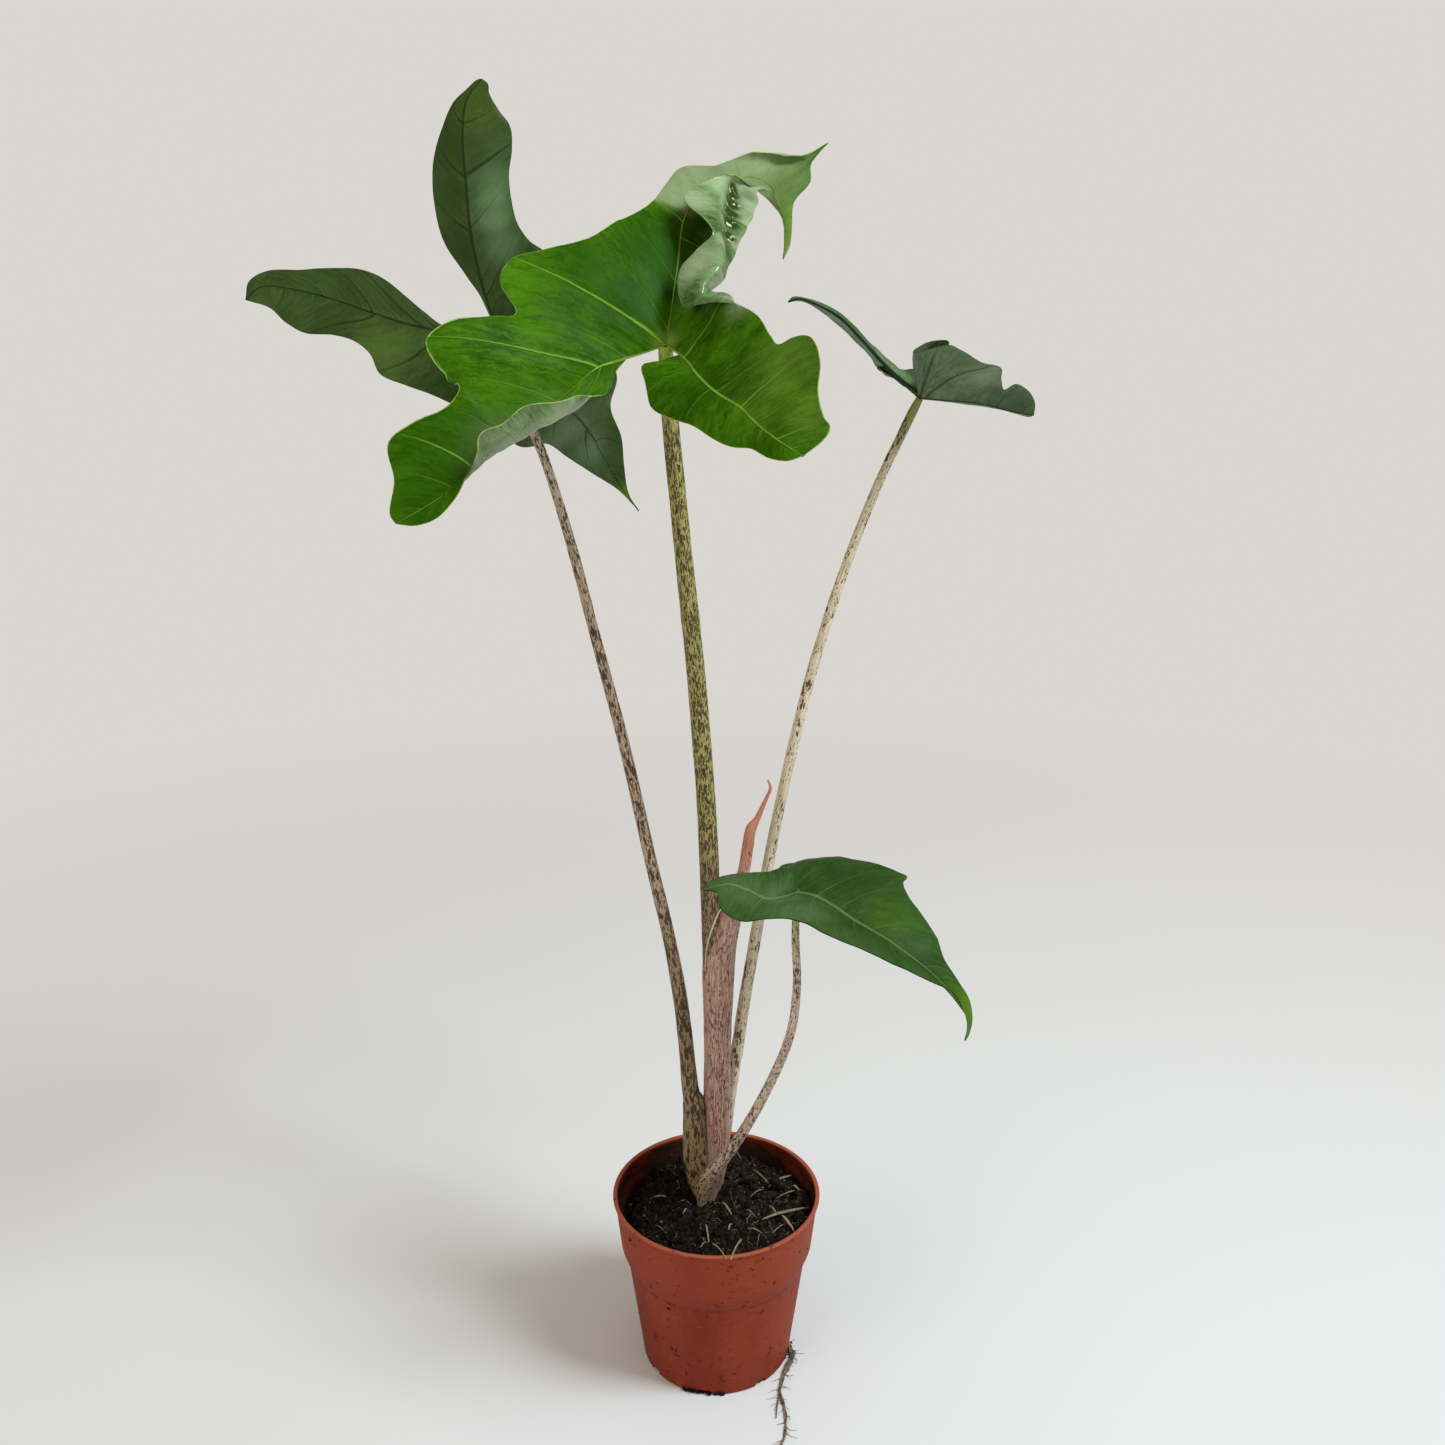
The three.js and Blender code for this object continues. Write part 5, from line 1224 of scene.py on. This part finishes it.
def straw(start, end, lift, width, pale, seed, bend=0.4, stiff=False):
    """A thin bent tube from one spot on the ground to another, laid on it or, if stiff, straight over its dips."""
    draw = np.random.default_rng(seed)
    t = np.linspace(0, 1, 6)[:, None]
    line = start * (1 - t) + end * t + draw.normal(0, bend, (6, 2)) * np.sin(math.pi * t)
    height = ground_height(*line.T)
    if stiff:
        straight = np.linspace(height[0], height[-1], 6)
        height = straight + max(0.8, 0.8 * (height - straight).max())
    height = height + width + lift * np.sin(math.pi * t[:, 0])
    taper = width * (1 - 0.6 * np.abs(2 * t - 1) ** 3)
    line = np.column_stack([line, height])
    body, faces, _ = tube(line, np.hstack([taper, taper * 0.6]), 1.0, 5, facing=(0.1, 0.2, 1))
    return body, faces, pale


draw = np.random.default_rng(29)
loose = []
for count, least, most, paleness in ((80, 2.0, 4.6, 0.0), (380, 0.9, 2.4, 0.06), (1500, 0.25, 0.8, 0.9)):
    places = around(draw.uniform(0, TURN, count), 53.5 * np.sqrt(draw.uniform(0, 1, count)), 0.0)
    sizes = least + (most - least) * draw.uniform(0, 1, count) ** 2
    places[:, 2] = ground_height(places[:, 0], places[:, 1]) + 0.15 * sizes
    body, faces = crumbs(places, sizes, count)
    loose.append((body, faces, np.repeat(paleness * draw.uniform(0, 1, count) ** 8, len(body) // count)))
for k in range(240):
    turn, radius = draw.uniform(0, TURN), 51 * math.sqrt(draw.uniform(0, 1))
    start = radius * heading(turn)
    bearing, length = draw.uniform(0, TURN), draw.uniform(3, 11)
    end = start + length * heading(bearing)
    end *= min(1, 53 / np.linalg.norm(end))
    width, pale = draw.uniform(0.1, 0.3), draw.uniform(0.05, 0.85) ** 2.5
    loose.append(straw(start, end, draw.uniform(0, 0.9), width, pale, k))
print("loose pieces of peat and straw:", len(loose))

# %% Straws that stand out
# Both ends as across and down, the half width in mm and how pale the straw is
SEEN_STRAWS = table("""
    722,1203,732,1216,0.8,0.7 705.6,1224,709,1239,0.7,0.75 762,1222,810,1203,1.3,0.6 768,1202,776,1214,0.7,0.6
    782,1219,794,1229,1.1,0.7 768,1185,791,1177,1.0,0.6 791,1187,799,1194,0.8,0.7 768,1150,790,1160.5,0.9,0.55
    650,1198,667,1199,0.7,0.6 667,1146,683,1144,0.7,0.6 732,1223,728,1231,0.6,0.8 747,1231,762,1234,0.6,0.6
    753,1171,770,1182,0.6,0.55 750,1196,764,1188,0.5,0.5 776,1196,803,1190,0.5,0.6 683,1216,687,1211,0.6,0.9
    671,1156,674,1151,0.6,0.8 745,1210,757,1217,0.5,0.5 655,1222,668,1233,0.5,0.4 772,1232,786,1222,0.5,0.5
    700,1249,708,1241,0.6,0.6 733,1150,741,1159,0.5,0.4""")
for k, (*spots, width, pale) in enumerate(SEEN_STRAWS):
    start, end = seen_at_height(np.reshape(spots, (2, 2)), SOIL_LEVEL + 1)[:, :2]
    loose.append(straw(start, end, 1.5, width * 0.9, pale, 900 + k, bend=0.15, stiff=True))

# Two straws lean out of the ground over the rim
RIM_STRAWS = table("713,1244,726,1258.5,0.6 741,1240,731,1259,0.75")
for *spots, width in RIM_STRAWS:
    start, end = np.reshape(spots, (2, 2))
    low, high = seen_at_height(start, SOIL_LEVEL + 1.5), seen_at_height(end, POT_HEIGHT + 1.3)
    t = np.linspace(0, 1, 5)[:, None]
    line = low * (1 - t) + high * t + np.sin(math.pi * t) * [0, 0, 1.6]
    body, faces, _ = tube(line, width * np.hstack([1 - 0.4 * t, 0.6 - 0.2 * t]), 1.0, 6, facing=(1, 0, 0))
    loose.append((body, faces, 0.95))


# %% The peat's finish
def build_peat(graph):
    """Near black in clouds, brown grains, and a straw colour where the field says pale. Damp spots shine."""
    pale = graph.field("pale", "Fac")
    coarse = graph.noise(graph.spot(), 260.0, detail=6.0, roughness=0.7)
    fine = graph.noise(graph.spot(), 1100.0, roughness=0.6)
    fibre = graph.mix(fine.ease(0.35, 0.65), (0.3, 0.2, 0.09), (0.62, 0.52, 0.31))
    colour = graph.coats(
        (0.006, 0.0043, 0.0028), (coarse.ease(0.4, 0.72), (0.03, 0.019, 0.0115)),
        (fine.ease(0.6, 0.76) * 0.7, (0.075, 0.045, 0.026)), (pale, fibre))
    rough = 0.9 - coarse.ease(0.46, 0.58) * (1.0 - pale) * 0.5
    return {"Base Color": colour, "Roughness": rough, "Normal": graph.bump(coarse * 0.8 + fine * 0.3, MM)}


peat = finish_of("moist peat", build_peat, Specular_IOR_Level=0.18)
points, faces, pale = joined([(ground, ground_faces, 0.0), *loose])
make_piece("soil_bed", "soil", "peat", points, faces, [peat], pale=pale)


# %% Peat on the pot
def on_pot(spots):
    """Points at [across, down]: where the sight line first comes inside the pot's outline, or else nearest to it."""
    path = CAMERA_PLACE + sight_lines(spots) * np.linspace(600, 800, 2001)[:, None, None]
    beside = np.hypot(path[..., 0], path[..., 1]) - outline_radius(path[..., 2])
    first = np.where((beside < 0).any(axis=0), np.argmax(beside < 0, axis=0), np.argmin(beside, axis=0))
    return path[first, np.arange(len(spots))]


# Specks that stick to the wall, as across, down and size in mm
SPECKS = table("""
    630.8,1240.3,1.1 629,1237,0.7 632,1244,0.6 668.7,1308.2,1.1 671,1310,0.6 676,1351,0.8 677,1349,0.5
    722.5,1283.8,0.7 729.8,1284.3,0.5 725,1285,0.3 732.2,1267.9,0.4 737.6,1274.7,0.45 751.8,1307,0.7
    717.6,1306.5,0.45 652,1293.6,0.5 684,1290.6,0.4 675.5,1319.2,0.5 759.9,1259.8,1.0 757,1260.5,0.7 763,1258.5,0.6
    806.8,1248.3,0.7 801.4,1265.5,0.7 668.2,1371,0.7 671,1259.8,0.4 694,1350,0.35 690,1349.5,0.3 686,1350,0.3
    711,1385,0.5 708,1384,0.35 638,1313,0.5 743,1262,0.3 749,1259,0.4 770,1258,0.35 716,1268,0.3 700,1300,0.25
    745,1330,0.3 735,1352,0.3 690,1330,0.3 763,1322,0.3""")
draw = np.random.default_rng(61)
foot_count, dust_count, plug_turns = 90, 220, np.repeat(DRAIN_TURNS, 16)
plug_count = len(plug_turns)
foot = around(np.radians(draw.uniform(-116, -84, foot_count)), draw.uniform(42.6, 44.4, foot_count),
              draw.uniform(0.5, 2.4, foot_count))
plug = around(plug_turns + draw.uniform(-0.07, 0.07, plug_count), draw.uniform(39, 42.6, plug_count),
              draw.uniform(0.9, 2.3, plug_count))
dust_height = 100 * draw.uniform(0.02, 1, dust_count)
dust = around(draw.uniform(0, TURN, dust_count), outline_radius(dust_height), dust_height)
sizes = np.concatenate([
    SPECKS[:, 2] * 0.8, draw.uniform(0.4, 1.0, foot_count), draw.uniform(0.5, 0.9, plug_count),
    0.1 + 0.3 * draw.uniform(0, 1, dust_count) ** 3])
points, faces = crumbs(np.concatenate([on_pot(SPECKS[:, :2]), foot, plug, dust]), sizes, 62)
points[:, 2] = np.maximum(points[:, 2], 0.05)
make_piece("pot_specks", "pot", "pot_plastic", points, faces, [peat], pale=np.zeros(len(points)))

# %% [markdown]
# ## The root
# A root grew out of one drain hole and lies along the surface: a few thin strands that wind round
# each other, with side roots as fine as hair and soil still on them.

# %% Root strands
# The lines of the strands, from inside the drain hole outwards, as across and down
ROOT_MAIN = table("""
    774,1345 781.5,1346 787,1347.5 791,1350 791.5,1355 788.5,1363 784,1373 781,1385 780.5,1393 783,1403 785.5,1415
    786,1427 784,1438 780,1448 778,1460 781,1472""")
ROOT_SIDE = table("""
    775,1346 783,1346.5 789,1348.5 792.5,1352 791.5,1362 785,1375 780,1387 779,1397 777,1406 776,1418""")
ROOT_NEAREST = -98.4
UP = (0, 0, 1)


def wound(line, spread, lay, phase):
    """The line, moved out to a helix: `spread` from it, one turn in `lay` mm, drawn in towards its end."""
    run = run_along(line)
    turn = phase + TURN * run / lay
    forward = np.gradient(line, axis=0)
    sideways = unit(np.stack([-forward[:, 1], forward[:, 0]], axis=-1))
    reach = spread * (1 - 0.6 * run / run[-1])
    return line + np.column_stack([sideways * (reach * np.cos(turn))[:, None], reach * (1 + np.sin(turn)) * 0.6])


root_parts = []
# Each strand: the line it follows, half width, spread, lay, phase and how pale it is
for spots, width, spread, lay, phase, pale in (
        (ROOT_MAIN, 0.8, 0.55, 26, 0.0, 0.45), (ROOT_MAIN, 0.6, 0.9, 24, 2.6, 0.2),
        (ROOT_MAIN[:12], 0.3, 1.4, 17, 4.4, 0.7), (ROOT_SIDE, 0.55, 0.5, 21, 1.0, 0.3),
        (ROOT_SIDE, 0.3, 1.2, 15, 3.6, 0.6), (ROOT_SIDE[:7], 0.35, 1.6, 13, 5.2, 0.1)):
    fine = smooth_curve(seen_at_height(spots, 0.75), np.linspace(0, len(spots) - 1, 4 * len(spots)))
    taper = width * np.linspace(1, 0.5, len(fine))[:, None]
    line = wound(fine, spread, lay, phase)
    body, faces, _ = tube(line, np.hstack([taper, taper]), 0.8, 8, ripple=0.25, seed=7, facing=UP)
    root_parts.append((body, faces, pale))

# %% Side roots and the soil on them
draw = np.random.default_rng(5)
t = np.linspace(0, 1, 5)[:, None]
for start in smooth_curve(seen_at_height(ROOT_MAIN, 0.5), np.linspace(2.5, len(ROOT_MAIN) - 3, 36)):
    bearing = -math.pi / 2 + draw.choice([-1, 1]) * draw.uniform(0.35, 1.5)
    reach = draw.uniform(2, 9)
    bend = draw.uniform(-1, 1) * reach * 0.25
    line = start[:2] + t * reach * heading(bearing) + np.sin(math.pi * t) * bend * heading(bearing + math.pi / 2)
    width = 0.17 * (1 - 0.6 * t)
    body, faces, _ = tube(np.column_stack([line, 0.25 + 0.4 * t]), np.hstack([width, width]), 0.8, 5, facing=UP)
    root_parts.append((body, faces, draw.uniform(0.1, 0.6)))
clump = seen_at_height(np.array([787.0, 1350.0]), 1.0) + draw.normal(0, 1, (110, 3)) * [2.4, 4.4, 0.8]
clump[:, 2] = np.abs(clump[:, 2]) * 0.8 + 0.3
root_parts.append((*crumbs(clump, 0.25 + 0.8 * draw.uniform(0, 1, 110) ** 2, 37), 0.05))
points, faces, pale = joined(root_parts)
points[:, 1] = np.maximum(points[:, 1], ROOT_NEAREST)
points[:, 2] = np.maximum(points[:, 2], 0.03)


def build_root(graph):
    """Dark brown, paler where the field says so, with soil on it in patches."""
    dirt = graph.noise(graph.spot(), 420.0, detail=4.0, roughness=0.65)
    colour = graph.coats((0.05, 0.032, 0.02), (graph.field("pale", "Fac"), (0.42, 0.32, 0.2)),
                         (dirt.ease(0.5, 0.62) * 0.8, (0.02, 0.014, 0.01)))
    return {"Base Color": colour, "Normal": graph.bump(dirt, 0.4 * MM)}


root_skin = finish_of("earthy root", build_root, Roughness=0.85)
make_piece("root_strands", "root", "root", points, faces, [root_skin], pale=pale)

# %% [markdown]
# ## Floor, light and air
# The floor is a plain pale disc that fades into the colour of the air at its edge, so that no
# horizon shows from any side. One wide lamp at the right gives the soft shadow, and the air gives
# the rest.

# %% The stage
AIR_COLOUR = (0.85, 0.82, 0.775)
AIR_WARMTH = (0.9, 0.8, 0.67)
AIR_LIGHT = 0.82
AIR_GLOW = 0.5
AIR_MIRRORED = 0.12
FLOOR_RADIUS, FLOOR_SIDES = 6.0, 96
PLANT_MIDDLE = (0, 0, 0.35)


def build_floor(graph):
    """Pale where the plant stands. Away from it, black that glows in the colour of the air."""
    black = (0, 0, 0)
    near = graph.mix(graph.noise(graph.spot(), 3.0, detail=2.0), (0.75, 0.76, 0.755), (0.78, 0.79, 0.785))
    far = graph.vector("LENGTH", {0: graph.spot()}, output="Value").ease(0.1, 1.5)
    return {"Base Color": graph.mix(far, near, black), "Emission Color": graph.mix(far, black, AIR_COLOUR)}


floor = put("floor", bpy.data.meshes.new("floor"))
floor.data.from_pydata(around(whole_turn(FLOOR_SIDES), FLOOR_RADIUS, 0.0).tolist(), [], [list(range(FLOOR_SIDES))])
floor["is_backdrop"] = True
floor.data.materials.append(finish_of(
    "pale floor", build_floor, Roughness=0.8, Specular_IOR_Level=0.0, Emission_Strength=AIR_LIGHT))

# %% The air
world = bpy.data.worlds.new("air")
bpy.context.scene.world = world
world.use_nodes = True
air = Graph(world.node_tree)
background = world.node_tree.nodes["Background"]
direct = air.add("ShaderNodeLightPath", output="Is Camera Ray")
mirrored = air.add("ShaderNodeLightPath", output="Is Glossy Ray")
air.plug(background.inputs["Color"], air.mix(direct, AIR_WARMTH, AIR_COLOUR))
air.plug(background.inputs["Strength"],
         direct * (AIR_LIGHT - AIR_GLOW) + AIR_GLOW - mirrored * (AIR_GLOW - AIR_MIRRORED))


# %% The lamps
def lamp(name, place, size, power, colour, mirrored=True):
    """A square area lamp that looks at the middle of the plant, with or without a mirror image in it."""
    made = put(name, bpy.data.lights.new(name, "AREA"))
    made.data.size, made.data.energy, made.data.color = size, power, colour
    made.location = place
    x, y, z = np.array(PLANT_MIDDLE) - place
    made.rotation_euler = (math.pi / 2 + math.atan2(z, math.hypot(x, y)), 0, math.atan2(y, x) - math.pi / 2)
    made.visible_glossy = mirrored


lamp("window", (1.2, -0.5, 1.9), 0.7, 37, (0.86, 0.97, 1.08))
lamp("bounce", (-1.4, -1.3, 1.2), 1.3, 9, (1.0, 0.97, 0.92), mirrored=False)

# %% Finish
sizes = {"frame": [list(corner) for corner in cad_box], "scene": [list(corner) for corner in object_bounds()]}
print(sizes)
